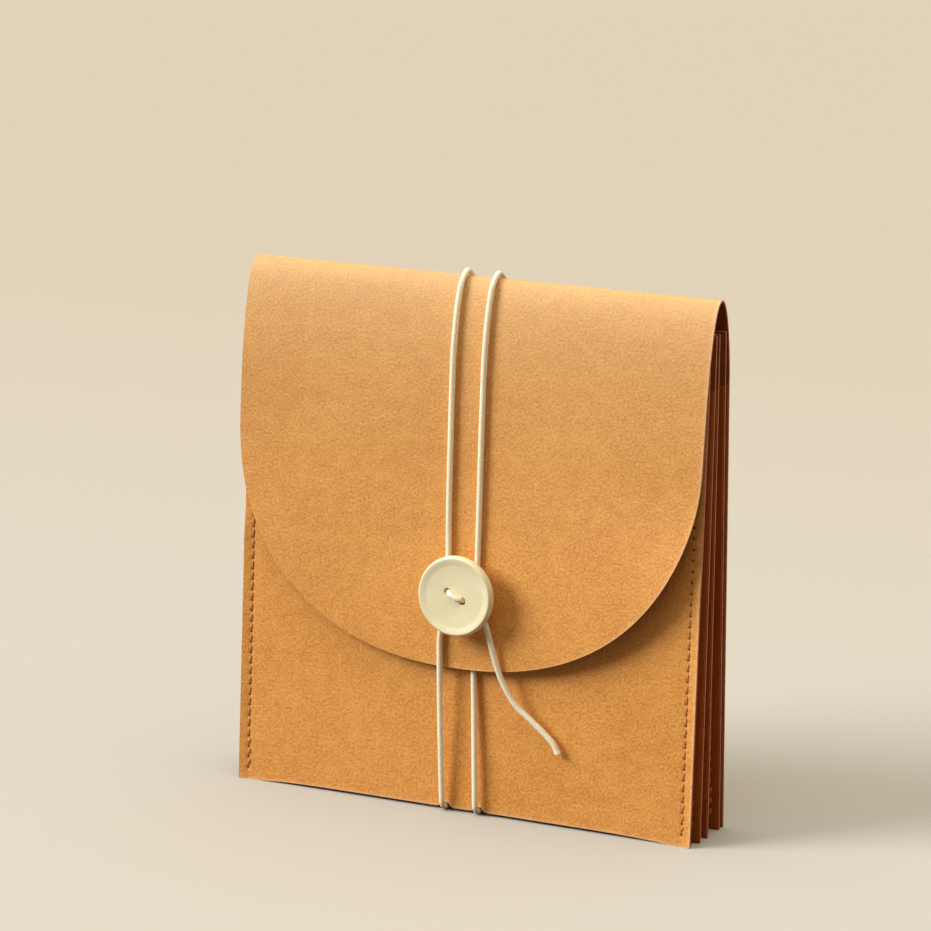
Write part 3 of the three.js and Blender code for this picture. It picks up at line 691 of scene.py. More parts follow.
def make_cover():
    """Rows times columns: a point across the cut's width, laid on the cover's side view. The fold isn't
    quite square to the sides, so the flap runs a little to the left. The painted highlight falls off with
    the distance from the fold, and the flap's left side counts as further from its rim, so that it gets
    less of the paler edge, which is partly rubbing and partly painted highlight."""
    rows, width = cover_rows()
    x = width[:, None] * (columns_across(COVER_COLUMNS, HALF_WIDTH, SEAM_X) / HALF_WIDTH)
    rows = np.broadcast_to(rows[:, None], x.shape)
    s = np.where(rows < ARCH_FADE, above_arch(x, rows), rows)
    place, out = cover_at(s)
    out = np.concatenate([np.zeros_like(x)[..., None], out], axis=-1)
    skewed = x - FLAP_SKEW * np.clip(s - FOLD_CREST, 0, None)
    middle = np.stack([skewed, place[..., 0], place[..., 1]], axis=-1)
    middle = middle + out * flap_wings(x, s)[..., None]
    dent = np.where(s < RISE_END, seam_dent(x, s, seam_holes("seam_back_left"), SEAM_X), 0)
    rim = np.minimum(width[:, None] - np.abs(x), np.minimum(rows, COVER_LENGTH - rows))
    # The flap's left side counts as further from the rim, so it gets less of the paler edge (rubbing and
    # painted highlight) and a cut edge painted darker as shade
    rim = rim + np.where(s > FOLD_CREST, LEFT_RIM_OFFSET * np.clip(-x / HALF_WIDTH, 0, 1), 0)
    # Share of the painted highlight, highest at the fold's crest
    highlight = np.exp(-np.abs(s - FOLD_CREST) / FOLD_HIGHLIGHT_REACH)
    return sheet_piece("cover", middle, out, np.stack([x, s], -1), dent=dent, rim_distance=rim, highlight=highlight)


cover = make_cover()
print("cover faces", len(cover.data.polygons))

# %% [markdown]
# Front panel and dividers are flat, leaning sheets. Only the front panel has rows close enough for its
# stitches, because only its seams lie in the open. Its thread pulls it in, so the margins outside the seams
# rise a little: the left one turns away from the lamp and the right one towards it.

# %% The front panel and the dividers
FRONT_HALF_WIDTH = box_mm("front_panel")[1][0]
FRONT_SEAM_X = FRONT_HALF_WIDTH - SEAM_INSET
FRONT_ROW_STEP = 0.5
DIVIDER_ROW_STEP = 4
PANEL_COLUMNS = 43
MARGIN_LIFT = 0.6
MARGIN_LIFT_END = 94
MARGIN_LIFT_FADE = 10


def margin_lift(x, z, seam_x):
    """Rise of a margin: a straight slope from seam to edge, as far up as the flap leaves it free."""
    outside = np.clip((np.abs(x) - seam_x) / SEAM_INSET, 0, 1)
    return MARGIN_LIFT * outside * np.clip((MARGIN_LIFT_END - z) / MARGIN_LIFT_FADE, 0, 1)


def make_panel(name, row_step, half_width, seam_x=None):
    """A leaning sheet: straight from foot to head, with its outer face to the front. A panel with seams in
    the open is pressed in along them, and its left edge counts as far from the rim: it gets no paler edge,
    which is partly rubbing and partly painted highlight, and its cut edge is painted darker as shade."""
    panel = PANELS[name]
    z = np.linspace(0, panel["height"], max(2, round(panel["height"] / row_step)))[:, None]
    x, z = np.broadcast_arrays(columns_across(PANEL_COLUMNS, half_width, seam_x)[None, :], z)
    lift = above_arch(x, z)
    lean = (panel["head"] - panel["foot"]) / panel["height"]
    middle = np.stack([x, panel_y(name, lift), lift], axis=-1)
    out = np.broadcast_to(unit(np.array([0, -1, lean])), middle.shape)
    to_side, dent = half_width - np.abs(x), None
    if seam_x is not None:
        middle = middle + out * margin_lift(x, lift, seam_x)[..., None]
        dent = seam_dent(x, lift, seam_holes("seam_front_left"), seam_x)
        # The left edge counts as far from the rim: no paler edge, and a cut edge painted darker as shade
        to_side = half_width - x
    rim = np.minimum(to_side, np.minimum(z, panel["height"] - z))
    uv = np.stack([x, lift], -1)
    return sheet_piece(name + "_sheet", middle, out, uv, dent=dent, rim_distance=rim)


front = make_panel("front_panel", FRONT_ROW_STEP, FRONT_HALF_WIDTH, FRONT_SEAM_X)
dividers = [make_panel(name, DIVIDER_ROW_STEP, HALF_WIDTH) for name in PANEL_NAMES[1:]]
print("panels", [piece.name for piece in (front, *dividers)])

# %% [markdown]
# Between two panels a thin strip is sewn to both and folds inwards, like the side of a concertina. The
# strip's section is flange, leg, valley, leg, flange, with the valley rounded by a hyperbola in place of a
# sharp corner. It runs up the sides, and along the lower edges the same fold stands on its flanks.

# %% The section of a strip
LINING = 0.35
PLEAT_MARGIN = 0.25
PLEAT_FLANGE = 5.75
PLEAT_DEPTH = 10
VALLEY_ROUND = 0.08
VALLEY_SHARE = 0.25
VALLEY_COLUMNS, LEG_COLUMNS, FLANGE_COLUMNS = 8, 9, 4
POCKETS = list(zip(PANEL_NAMES, PANEL_NAMES[1:] + ["back_panel"]))


def soft_abs(t):
    """The distance from the fold as a share: a hyperbola, so that it is rounded where it turns."""
    full = math.sqrt(1 + VALLEY_ROUND**2) - VALLEY_ROUND
    return (np.sqrt(t**2 + VALLEY_ROUND**2) - VALLEY_ROUND) / full


def fold_columns(flange):
    """Places along a strip's section: -1 to 1 over the fold, closer at the valley, then the flanges."""
    valley = np.linspace(0, VALLEY_SHARE, VALLEY_COLUMNS)
    half = np.concatenate([valley, np.linspace(VALLEY_SHARE, 1, LEG_COLUMNS)[1:]])
    if flange:
        half = np.concatenate([half, np.linspace(1, 2, FLANGE_COLUMNS)[1:]])
    return np.concatenate([-half[:0:-1], half])


def turned_out(middle, towards):
    """Directions square to a surface, on the side of a given direction."""
    normal = unit(np.cross(np.gradient(middle, axis=0), np.gradient(middle, axis=1)))
    return normal * np.where(normal @ towards < 0, -1, 1)[..., None]


def pocket_faces(front_name, rear_name, z):
    """Depths that a strip's middle runs between, at a height: just inside the faces of its two panels."""
    room = HALF_SHEET + LINING / 2 + CLEARANCE / 2
    return panel_y(front_name, z) + room, panel_y(rear_name, z) - room


print("columns of a side strip", len(fold_columns(True)))

# %% The pleated strips
STRIP_ROWS = 60
FOLD_WAVER = 0.35
WAVER_LENGTH = 46


def make_side_pleat(number, front_name, rear_name, side):
    """A strip up one side: its section lies between two panels, and its valley wavers in a sine."""
    low, high = box_mm("pleat_right_" + str(number))
    z = np.linspace(low[2], high[2], STRIP_ROWS)[:, None]
    t = fold_columns(True)[None, :]
    first, last = pocket_faces(front_name, rear_name, z)
    flange = HALF_WIDTH - PLEAT_MARGIN - PLEAT_FLANGE
    first_edge = box_mm(front_name)[1][0] - PLEAT_MARGIN
    edge = np.where(t < 0, first_edge, HALF_WIDTH - PLEAT_MARGIN)
    waver = FOLD_WAVER * np.sin(2 * math.pi * z / WAVER_LENGTH + number)
    folded = flange - (PLEAT_DEPTH + waver) * (1 - soft_abs(np.clip(np.abs(t), 0, 1)))
    x = side * np.where(np.abs(t) > 1, flange + (edge - flange) * (np.abs(t) - 1), folded)
    y = (first + last) / 2 + (last - first) / 2 * np.clip(t, -1, 1)
    x, y, z, t = np.broadcast_arrays(x, y, z, t)
    middle = np.stack([x, y, z], axis=-1)
    name = "pleat_" + ("right" if side > 0 else "left") + "_" + str(number)
    uv = np.stack([t * PLEAT_DEPTH, z], axis=-1)
    out = turned_out(middle, np.array([side, 0, 0]))
    return sheet_piece(name + "_strip", middle, out, uv, LINING)


def make_lower_pleat(number, front_name, rear_name):
    """A strip along the lower edges: two flanks that lean together in a ridge above the cord."""
    low, high = box_mm("pleat_lower_" + str(number))
    x = np.linspace(low[0], high[0], STRIP_ROWS)[:, None]
    t = fold_columns(False)[None, :]
    foot = arch(x, 2 * NOTCH_HALF_WIDTH) + CLEARANCE
    z = foot + PLEAT_DEPTH * (1 - soft_abs(np.abs(t)))
    first, last = pocket_faces(front_name, rear_name, z)
    y = (first + last) / 2 + (last - first) / 2 * t
    x, y, z, t = np.broadcast_arrays(x, y, z, t)
    middle = np.stack([x, y, z], axis=-1)
    uv = np.stack([x, t * PLEAT_DEPTH], axis=-1)
    out = turned_out(middle, np.array([0, 0, -1.0]))
    return sheet_piece("pleat_lower_" + str(number) + "_strip", middle, out, uv, LINING)


pleats = {}
for number, pocket in enumerate(POCKETS, start=1):
    pleats["pleat_left_" + str(number)] = make_side_pleat(number, *pocket, -1)
    pleats["pleat_right_" + str(number)] = make_side_pleat(number, *pocket, 1)
    pleats["pleat_lower_" + str(number)] = make_lower_pleat(number, *pocket)
print("pleated strips", len(pleats))

# %% [markdown]
# A seam is a row of single stitches. Each one is a short thread that rises out of a hole, lies on the sheet
# a little askew and dives into the next hole. One stitch is a tube of a few dozen faces, and the row is
# that tube repeated at every hole by adding offsets, with no loop over points. The last stitches at the
# foot are sewn over twice. A divider's seam lies on the flange of the strip that is sewn to it.

# %% The stitches
THREAD_RADIUS = 0.3
THREAD_RISE = 0.1
THREAD_TAPER = 0.35
TAPER_END = 0.04
STITCH_SINK = 0.42
STITCH_SKEW = 0.1
STITCH_GAP = 0.1
STITCH_RINGS = 9
STITCH_SIDES = 8
LOCKING_STITCHES = 3
LOCKING_SHIFT = 0.45
THREAD_TWIST = 1.8


def stitch_rings(pitch):
    """One stitch, along Z, on a face that looks to -Y: a sine arch just inside its holes. Its thickness
    follows the root of the same sine, so that it tapers at both ends."""
    t = np.linspace(0, 1, STITCH_RINGS)
    rise = np.sin(math.pi * t)
    depth = STITCH_SINK - (THREAD_RISE + STITCH_SINK) * rise
    along = pitch * (STITCH_GAP + (1 - 2 * STITCH_GAP) * t)
    line = np.stack([STITCH_SKEW * (t - 0.5), depth, along], axis=1)
    swell = np.sin(math.pi * np.clip(t, TAPER_END, 1 - TAPER_END)) ** 0.5
    radius = THREAD_RADIUS * (THREAD_TAPER + (1 - THREAD_TAPER) * swell)
    return tube(line, radius[:, None], STITCH_SIDES, np.array([1.0, 0, 0]))


def seam_face(body, z):
    """Depth of the face that a seam lies on: the back, the front panel or the flange of a strip."""
    if body == "back":
        return np.full_like(z, BACK_Y + HALF_SHEET)
    if body == "front":
        return panel_y("front_panel", z) - HALF_SHEET
    return panel_y(body, z) - HALF_SHEET - LINING - CLEARANCE / 2


def make_stitches(node, body, x):
    """A row of stitches between a seam's holes, on a face that leans with its panel."""
    holes = seam_holes(node)
    starts = np.concatenate([holes[:-1], holes[:LOCKING_STITCHES] + LOCKING_SHIFT])
    shift = np.concatenate([np.zeros(len(holes) - 1), np.full(LOCKING_STITCHES, LOCKING_SHIFT)])
    one = stitch_rings(holes[1] - holes[0])
    rings = np.repeat(one[None], len(starts), axis=0)
    rings[..., 0] += x + shift[:, None, None]
    rings[..., 2] += starts[:, None, None]
    rings[..., 1] = rings[..., 1] * (-1 if body == "back" else 1) + seam_face(body, rings[..., 2])
    rows, sides = one.shape[:2]
    per = rows * sides + 2
    tips = np.stack([rings[:, 0].mean(1), rings[:, -1].mean(1)], axis=1)
    points = np.concatenate([rings.reshape(len(starts), -1, 3), tips], axis=1)
    faces = tube_faces(rows, sides)[None] + per * np.arange(len(starts))[:, None, None]
    places = twist_map(rows, sides, THREAD_RADIUS, holes[1] - holes[0], THREAD_TWIST)[1]
    twist = np.zeros((len(starts), per, 3))
    twist[:, :-2] = places.reshape(-1, 3)
    twist[:, -1, 2] = places[-1, 0, 2]
    twist[..., 2] += starts[:, None]
    values = {"twist": twist.reshape(-1, 3) * MM}
    return new_piece(node + "_thread", points.reshape(-1, 3), faces.reshape(-1, 4), values=values)


seams = {}
for side, sign in (("left", -1), ("right", 1)):
    for body in (*PANEL_NAMES[1:], "front", "back"):
        node = "seam_" + body + "_" + side
        seams[node] = make_stitches(node, body, sign * (FRONT_SEAM_X if body == "front" else SEAM_X))
print("rows of stitches", len(seams))

# %% [markdown]
# The button is a turned disc with two holes. A lathe gives the rim: a profile of radius and height, carried
# round. The plate inside the rim can't be turned, because of its holes, so it is two half discs. In each
# half, straight lines run from the half's border to its hole on top, down the hole's wall and back out
# underneath. Both halves use the lathe's own points on their border, so the three meshes close into one
# when their doubles are merged.

# %% The button's turned rim
BUTTON_UP = np.cross(BUTTON_AXIS, (1.0, 0, 0))
BUTTON_FRAME = np.stack([(1.0, 0, 0), BUTTON_UP, BUTTON_AXIS])
BUTTON_BACK = 5.55
BUTTON_RADIUS = 13.5
BUTTON_RIM = 3.5
BUTTON_WEB = 3.05
PLATE_RADIUS = 7.5
DISH = (9.8, 12.7)
DISH_SAG = 0.3
ROLL = 1
DISH_ROWS, ROLL_ROWS, UNDER_ROWS = 22, 19, 5


def in_button(points):
    """Points given across, up and out from the flap's sheet under the button, as points of the frame."""
    return np.asarray(points, float) @ BUTTON_FRAME + SEAT


def dish_height(r):
    """Height of the button's face: a shallow bowl that rises in an S to the rim."""
    t = np.clip((r - DISH[0]) / (DISH[1] - DISH[0]), 0, 1)
    bowl = BUTTON_WEB - DISH_SAG * (1 - np.clip(r / DISH[0], 0, 1) ** 2)
    return bowl + (BUTTON_RIM - BUTTON_WEB) * t**2 * (3 - 2 * t)


def lathe_profile():
    """Radius and height from the plate's border over the rim and back underneath it."""
    top = np.linspace(PLATE_RADIUS, DISH[1], DISH_ROWS)
    angle = np.linspace(math.pi / 2, -math.pi / 2, ROLL_ROWS)[1:]
    middle = BUTTON_RIM / 2
    roll = BUTTON_RADIUS - ROLL + ROLL * np.cos(angle)
    under = np.linspace(BUTTON_RADIUS - ROLL, PLATE_RADIUS, UNDER_ROWS)[1:]
    heights = [dish_height(top), middle + middle * np.sin(angle), np.zeros_like(under)]
    return np.stack([np.concatenate([top, roll, under]), np.concatenate(heights)], axis=1)


print("points of the lathe's profile", len(lathe_profile()))

# %% The button's plate, and the button
LATHE_STEPS = 96
HOLE_RADIUS = 1.2
HOLE_OFFSET = 3.05
HOLE_TURN = math.radians(-26)
HOLE_ROUND = 0.3
SPOKE_ROWS, LIP_ROWS = 12, 6
MERGE_DISTANCE = 1e-6


def plate_border():
    """The border of a half plate: half the lathe's circle, then the straight cut through the middle."""
    angle = np.linspace(-math.pi / 2, math.pi / 2, LATHE_STEPS // 2 + 1)
    arc = PLATE_RADIUS * np.stack([np.cos(angle), np.sin(angle)], axis=1)
    cut = np.linspace(PLATE_RADIUS, -PLATE_RADIUS, LATHE_STEPS // 4 + 1)[1:-1]
    return np.concatenate([arc, np.stack([np.zeros_like(cut), cut], axis=1)])


def half_plate():
    """Lines from the border to the hole on top, round its lip, down its wall and back out below."""
    edge = plate_border()
    hole = np.array([HOLE_OFFSET, 0])
    spoke = unit(edge - hole)
    lip = hole + spoke * (HOLE_RADIUS + HOLE_ROUND)
    share = np.linspace(0, 1, SPOKE_ROWS)[:, None, None]
    top = edge + (lip - edge) * share
    top_height = dish_height(np.linalg.norm(top, axis=-1))
    angle = np.linspace(0, math.pi / 2, LIP_ROWS)[1:, None]
    around = hole + spoke * (HOLE_RADIUS + HOLE_ROUND * (1 - np.sin(angle)))[..., None]
    upper = top_height[-1] - HOLE_ROUND * (1 - np.cos(angle))
    lower = HOLE_ROUND * (1 - np.cos(angle[::-1]))
    below = np.concatenate([around[::-1], top[::-1]])
    lower = np.broadcast_to(lower, around.shape[:2])
    below_height = np.concatenate([lower, np.zeros_like(top_height)])
    flat = np.concatenate([top, around, below])
    height = np.concatenate([top_height, upper, below_height])
    return np.concatenate([flat, height[..., None]], axis=-1)


def make_button():
    """Rim and two half plates, joined where they share points."""
    angle = np.linspace(0, 2 * math.pi, LATHE_STEPS, endpoint=False)
    profile = lathe_profile()
    rim = np.stack([
        profile[:, :1] * np.cos(angle),
        profile[:, :1] * np.sin(angle),
        np.broadcast_to(profile[:, 1:], (len(profile), LATHE_STEPS)),
    ], axis=-1)
    plate = half_plate()
    grids = [rim, plate, plate * (-1, -1, 1)]
    starts = np.cumsum([0] + [grid.shape[0] * grid.shape[1] for grid in grids])
    faces = [grid_faces(*grid.shape[:2], closed=True) + start for grid, start in zip(grids, starts)]
    points = np.concatenate([grid.reshape(-1, 3) for grid in grids])
    cosine, sine = math.cos(HOLE_TURN), math.sin(HOLE_TURN)
    points[:, :2] = points[:, :2] @ np.array([[cosine, sine], [-sine, cosine]])
    piece = new_piece("sewn_button", in_button(points + (0, 0, BUTTON_BACK)), np.concatenate(faces))
    shell = bmesh.new()
    shell.from_mesh(piece.data)
    bmesh.ops.remove_doubles(shell, verts=shell.verts, dist=MERGE_DISTANCE)
    bmesh.ops.recalc_face_normals(shell, faces=shell.faces)
    print("open edges of the button", sum(edge.is_boundary for edge in shell.edges))
    shell.to_mesh(piece.data)
    shell.free()
    return piece


button = make_button()
print("button faces", len(button.data.polygons))

# %% [markdown]
# A strand of the same cord sews the button on. It comes through the flap, goes up one hole, over the plate
# and down the other, and a flat knot behind the flap holds it. The knot is a trefoil, a curve that crosses
# itself three times, pressed flat because the flap lies on it.

# %% The sewing loop and its knot
LOOP_RADIUS = 0.9
LOOP_OFFSET = 2.72
LOOP_SIDES = 14
LOOP_END = -0.65
LOOP_TOP = 9.15
LOOP_SHOULDER = 1.83
LOOP_TWIST = 5.5
LOOP_ROWS = 6
LOOP_SPACING = 0.4
KNOT_OUT = -1.7
KNOT_HALF = (4.6, 3.68, 0.75)
KNOT_STRAND = (0.8, 0.42)
KNOT_ENDS = 0.15
KNOT_ROWS = 150


def holes_frame(along, across, out):
    """Points given along the line of the two holes, across it and out."""
    x = along * math.cos(HOLE_TURN) - across * math.sin(HOLE_TURN)
    y = along * math.sin(HOLE_TURN) + across * math.cos(HOLE_TURN)
    return in_button(np.stack([x, y, np.broadcast_to(out, x.shape)], axis=-1))


def make_loop():
    """A staple: two legs at the inner walls of the holes, joined by quarter circles and a bar."""
    angle = np.linspace(0, math.pi / 2, LOOP_ROWS)
    low = LOOP_TOP - LOOP_SHOULDER
    legs = np.linspace(LOOP_END, low, LOOP_ROWS)[:-1]
    turn = LOOP_OFFSET - LOOP_SHOULDER * (1 - np.cos(angle))
    along = np.concatenate([np.full_like(legs, LOOP_OFFSET), turn])
    out = np.concatenate([legs, low + LOOP_SHOULDER * np.sin(angle)])
    along = np.concatenate([along, -along[::-1]])
    out = np.concatenate([out, out[::-1]])
    line = spline(holes_frame(along, np.zeros_like(along), out), LOOP_SPACING)
    across = holes_frame(np.zeros(1), np.ones(1), 0)[0] - SEAT
    phase, places = twist_map(len(line), LOOP_SIDES, LOOP_RADIUS, line_length(line), LOOP_TWIST)
    rings = tube(line, LOOP_RADIUS * ply_wave(phase), LOOP_SIDES, across)
    return tube_piece("sewing_loop", rings, places)


def make_knot():
    """A flat trefoil: sin t + 2 sin 2t along, cos t - 2 cos 2t across, and a low wave of three crossings
    out. Its strand is pressed flat too."""
    t = np.linspace(KNOT_ENDS, 2 * math.pi - KNOT_ENDS, KNOT_ROWS)
    along = (np.sin(t) + 2 * np.sin(2 * t)) / 3
    across = (np.cos(t) - 2 * np.cos(2 * t)) / 3
    along *= (KNOT_HALF[0] - KNOT_STRAND[0]) / np.abs(along).max()
    across *= (KNOT_HALF[1] - KNOT_STRAND[0]) / np.abs(across).max()
    out = KNOT_OUT - (KNOT_HALF[2] - KNOT_STRAND[1]) * np.sin(3 * t)
    line = holes_frame(along, across, out)
    places = twist_map(len(line), LOOP_SIDES, KNOT_STRAND[0], line_length(line), LOOP_TWIST)[1]
    rings = tube(line, KNOT_STRAND[0], LOOP_SIDES, BUTTON_AXIS)
    off = rings - line[:, None]
    out_part = (off @ BUTTON_AXIS)[..., None] * BUTTON_AXIS
    rings = rings - out_part * (1 - KNOT_STRAND[1] / KNOT_STRAND[0])
    return tube_piece("sewing_knot", rings, places)


loop = make_loop()
knot = make_knot()
print("loop and knot faces", len(loop.data.polygons), len(knot.data.polygons))

# %% [markdown]
# The front panel, the dividers, the threads, the button and the knot are each parented to the body they
# move with, and the cord to the back panel's body. The cover, the strips and the loop are baked in place.
# The solids that the pieces stand for are hidden.

# %% Bodies of the panels, and the cover and strips baked in place
BODY_OF_PANEL = {"front_panel": "front", "back_panel": "back"}


def body_of_panel(name):
    """The body that carries a panel."""
    return BODY_OF_PANEL.get(name, name)


def bend_strip(piece):
    """The strip's place, baked into its mesh."""
    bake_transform(piece)


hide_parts("back_panel", "flap")
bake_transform(cover)
for name, piece in zip(PANEL_NAMES, (front, *dividers)):
    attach(piece, body_of_panel(name))
    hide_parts(name)
for number, (front_name, rear_name) in enumerate(POCKETS, start=1):
    for place in ("left", "right", "lower"):
        node = "pleat_" + place + "_" + str(number)
        piece = pleats[node]
        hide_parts(node)
        bend_strip(piece)
print("bodies set for sheets and strips", 2 + len(dividers) + len(pleats))

# %% Bodies of thread, button and cord
for node, piece in seams.items():
    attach(piece, node.removeprefix("seam_").rsplit("_", 1)[0])
    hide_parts(node)
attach(button, "button")
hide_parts("button")
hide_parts("button_loop")
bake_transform(loop)
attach(knot, "flap")
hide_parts("cord_knot")
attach(cord, "back")
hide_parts("cord_winding", "cord_tail")
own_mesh(cord)
print("bodies set for threads", len(seams), "and for", [piece.name for piece in (button, loop, knot, cord)])

# %% [markdown]
# The finishes share three effects, and each is a node group that is built once. The grain breaks a colour
# into fine light and dark marks on soft clouds, as on a suede-like paper sheet. The edge mask lies near a
# cut, where the sheet is painted paler, partly as rubbing and partly as a painted highlight. The twist
# draws fibres along a cord or thread, from its places in a straight rod. A few helpers come first, because
# a tree of nodes is built from the same steps again and again.

# %% Helpers for node trees
NOISE_RANGE = (0.3, 0.7)


def add_node(tree, kind, inputs=None, **settings):
    """A node with its settings. Each of its inputs takes a value or another node's output."""
    node = tree.nodes.new("ShaderNode" + kind)
    for key, value in settings.items():
        setattr(node, key, value)
    for key, value in (inputs or {}).items():
        if isinstance(value, bpy.types.NodeSocket):
            tree.links.new(value, node.inputs[key])
        else:
            node.inputs[key].default_value = value
    return node


def calculate(tree, operation, first, second):
    """One step of arithmetic on two values."""
    return add_node(tree, "Math", {0: first, 1: second}, operation=operation).outputs[0]


def between(tree, share, first, second):
    """A colour between two others."""
    return add_node(tree, "Mix", {0: share, 6: first, 7: second}, data_type="RGBA").outputs[2]


def spread(tree, value, low, high, to_low=0.0, to_high=1.0):
    """A value stretched from one range to another, and kept inside it."""
    inputs = {"Value": value, "From Min": low, "From Max": high, "To Min": to_low, "To Max": to_high}
    return add_node(tree, "MapRange", inputs).outputs[0]


def noise(tree, vector, scale, detail, roughness=0.5):
    """Smooth random values over a place, with smaller ones on top."""
    inputs = {"Vector": vector, "Scale": scale, "Detail": detail, "Roughness": roughness}
    return add_node(tree, "TexNoise", inputs).outputs[0]


def mottle(tree, place, scale, detail, roughness=0.5, low=-0.5, high=0.5):
    """Noise stretched from the range that it mostly keeps to, over another one."""
    return spread(tree, noise(tree, place, scale, detail, roughness), *NOISE_RANGE, low, high)


def new_group(name, inputs, outputs):
    """An empty group whose sockets have names and kinds."""
    tree = bpy.data.node_groups.new(name, "ShaderNodeTree")
    for key, kind in inputs.items():
        tree.interface.new_socket(key, in_out="INPUT", socket_type="NodeSocket" + kind)
    for key, kind in outputs.items():
        tree.interface.new_socket(key, in_out="OUTPUT", socket_type="NodeSocket" + kind)
    return tree, tree.nodes.new("NodeGroupInput").outputs, tree.nodes.new("NodeGroupOutput").inputs


def use_group(tree, group, inputs):
    """A group placed in a material, with its inputs set, as its outputs."""
    return add_node(tree, "Group", inputs, node_tree=group).outputs


def point_value(tree, name):
    """A value that a piece keeps on its points."""
    return add_node(tree, "Attribute", attribute_name=name).outputs["Fac"]


print("noise is stretched from", NOISE_RANGE)

# %% The three shared effects
MARK_SCALE, CLOUD_SCALE, BLOTCH_SCALE, FIBRE_SCALE = 1150, 210, 24, 2600
SHEET_ROUGHNESS = (0.5, 0.64)
FIBRE_HEIGHT = 0.6
RUB_HIGHLIGHT_SCALE = 320
RUB_HIGHLIGHT_UNEVENNESS = (0.35, 1.4)
STREAK_STRETCH = (1, 1, 0.16)
STREAK_WEIGHT, PATCH_WEIGHT = 1.3, 0.5
STRAND_RANGE = (0.55, 1.2)
PATCH_SCALE = 260


def make_sheet_grain():
    """Marks of a millimetre, clouds of a few millimetres and blotches of a few centimetres, summed."""
    inputs = {"Place": "Vector", "Light": "Color", "Dark": "Color", "Marks": "Float", "Clouds": "Float"}
    outputs = {"Color": "Color", "Roughness": "Float", "Height": "Float"}
    tree, given, out = new_group("sheet_grain", inputs, outputs)
    place = given["Place"]
    fine = mottle(tree, place, MARK_SCALE, 2, 0.6)
    cloud = mottle(tree, place, CLOUD_SCALE, 2, 0.55)
    blotch = mottle(tree, place, BLOTCH_SCALE, 3, 0.55)
    marks = calculate(tree, "MULTIPLY", fine, given["Marks"])
    clouds = calculate(tree, "MULTIPLY", calculate(tree, "ADD", cloud, blotch), given["Clouds"])
    level = calculate(tree, "ADD", calculate(tree, "ADD", marks, clouds), 0.5)
    tree.links.new(between(tree, level, given["Dark"], given["Light"]), out["Color"])
    tree.links.new(spread(tree, fine, -0.5, 0.5, *SHEET_ROUGHNESS), out["Roughness"])
    fibre = calculate(tree, "MULTIPLY", noise(tree, place, FIBRE_SCALE, 1.5, 0.5), FIBRE_HEIGHT)
    tree.links.new(calculate(tree, "ADD", fine, fibre), out["Height"])
    return tree


# Mask for edges painted paler: partly rubbing, partly a painted highlight where the cut catches the light
def make_rubbed_edge():
    """One at a cut edge, falling to nought over a reach that a noise makes uneven."""
    inputs = {"Place": "Vector", "Distance": "Float", "Reach": "Float"}
    tree, given, out = new_group("rub_highlight_edge", inputs, {"Mask": "Float"})
    low, high = RUB_HIGHLIGHT_UNEVENNESS
    uneven = mottle(tree, given["Place"], RUB_HIGHLIGHT_SCALE, 2, low=low, high=high)
    reach = calculate(tree, "MULTIPLY", given["Reach"], uneven)
    share = calculate(tree, "DIVIDE", given["Distance"], reach)
    tree.links.new(spread(tree, share, 0.0, 1.0, 1.0, 0.0), out["Mask"])
    return tree


def make_fibre_twist():
    """Fine streaks and larger patches: noise in a straight rod, with the streaks stretched along it."""
    inputs = {"Place": "Vector", "Light": "Color", "Dark": "Color", "Fineness": "Float"}
    tree, given, out = new_group("fibre_twist", inputs, {"Color": "Color", "Height": "Float"})
    scaled = add_node(tree, "VectorMath", {0: given["Place"], 1: STREAK_STRETCH}, operation="MULTIPLY")
    streak = noise(tree, scaled.outputs[0], given["Fineness"], 2)
    patch = calculate(tree, "MULTIPLY", noise(tree, given["Place"], PATCH_SCALE, 2), PATCH_WEIGHT)
    level = calculate(tree, "ADD", calculate(tree, "MULTIPLY", streak, STREAK_WEIGHT), patch)
    share = spread(tree, level, *STRAND_RANGE)
    tree.links.new(between(tree, share, given["Dark"], given["Light"]), out["Color"])
    tree.links.new(streak, out["Height"])
    return tree


sheet_grain = make_sheet_grain()
rub_highlight_edge = make_rubbed_edge()
fibre_twist = make_fibre_twist()
print("groups", [group.name for group in bpy.data.node_groups])

# %% [markdown]
# A finish is a material around those effects. The tan sheet is painted paler along its edges, partly as
# rubbing and partly as a highlight, and paler at the fold as a painted highlight. Its pits, where thread
# pulls it in, are painted dark as shade. Its cut edge shows the same grain in the colours of the core,
# apart from the left edges, which are painted darker as shade so that they show no lit line. The inner
# faces and the strips have it in a dark red-brown that is painted shade, for the shade inside the pockets
# and under the flap. A finish takes its pairs of colours as light and dark.

# %% The sheet's finishes
TAN = ((0.87, 0.41, 0.088, 1), (0.59, 0.215, 0.030, 1))
CUT = ((0.78, 0.34, 0.20, 1), (0.56, 0.21, 0.11, 1))
# The strips and the inner faces are painted a dark red-brown as shade, for the shade inside the pockets and
# under the flap
STRIP_SHADE = ((0.54, 0.12, 0.008, 1), (0.35, 0.066, 0.003, 1))
INNER_SHADE = ((0.40, 0.085, 0.011, 1), (0.25, 0.046, 0.004, 1))
# Darker tan painted on the left cut edges as shade, so that they show no lit line, and its range of rim
# distances
LEFT_EDGE_SHADE = (0.56, 0.22, 0.04, 1)
LEFT_EDGE_SHADE_RANGE = (0.5, 3.0)
# Paler edge colour, partly rubbing and partly painted highlight, with its reach and share
RUB_HIGHLIGHT_COLOR = (0.95, 0.60, 0.33, 1)
RUB_HIGHLIGHT_REACH = 1.7
RUB_HIGHLIGHT_SHARE = 0.42
# Paler colour painted near the fold as a highlight, and its share
FOLD_HIGHLIGHT_COLOR = (0.63, 0.52, 0.28, 1)
FOLD_HIGHLIGHT_SHARE = 0.4
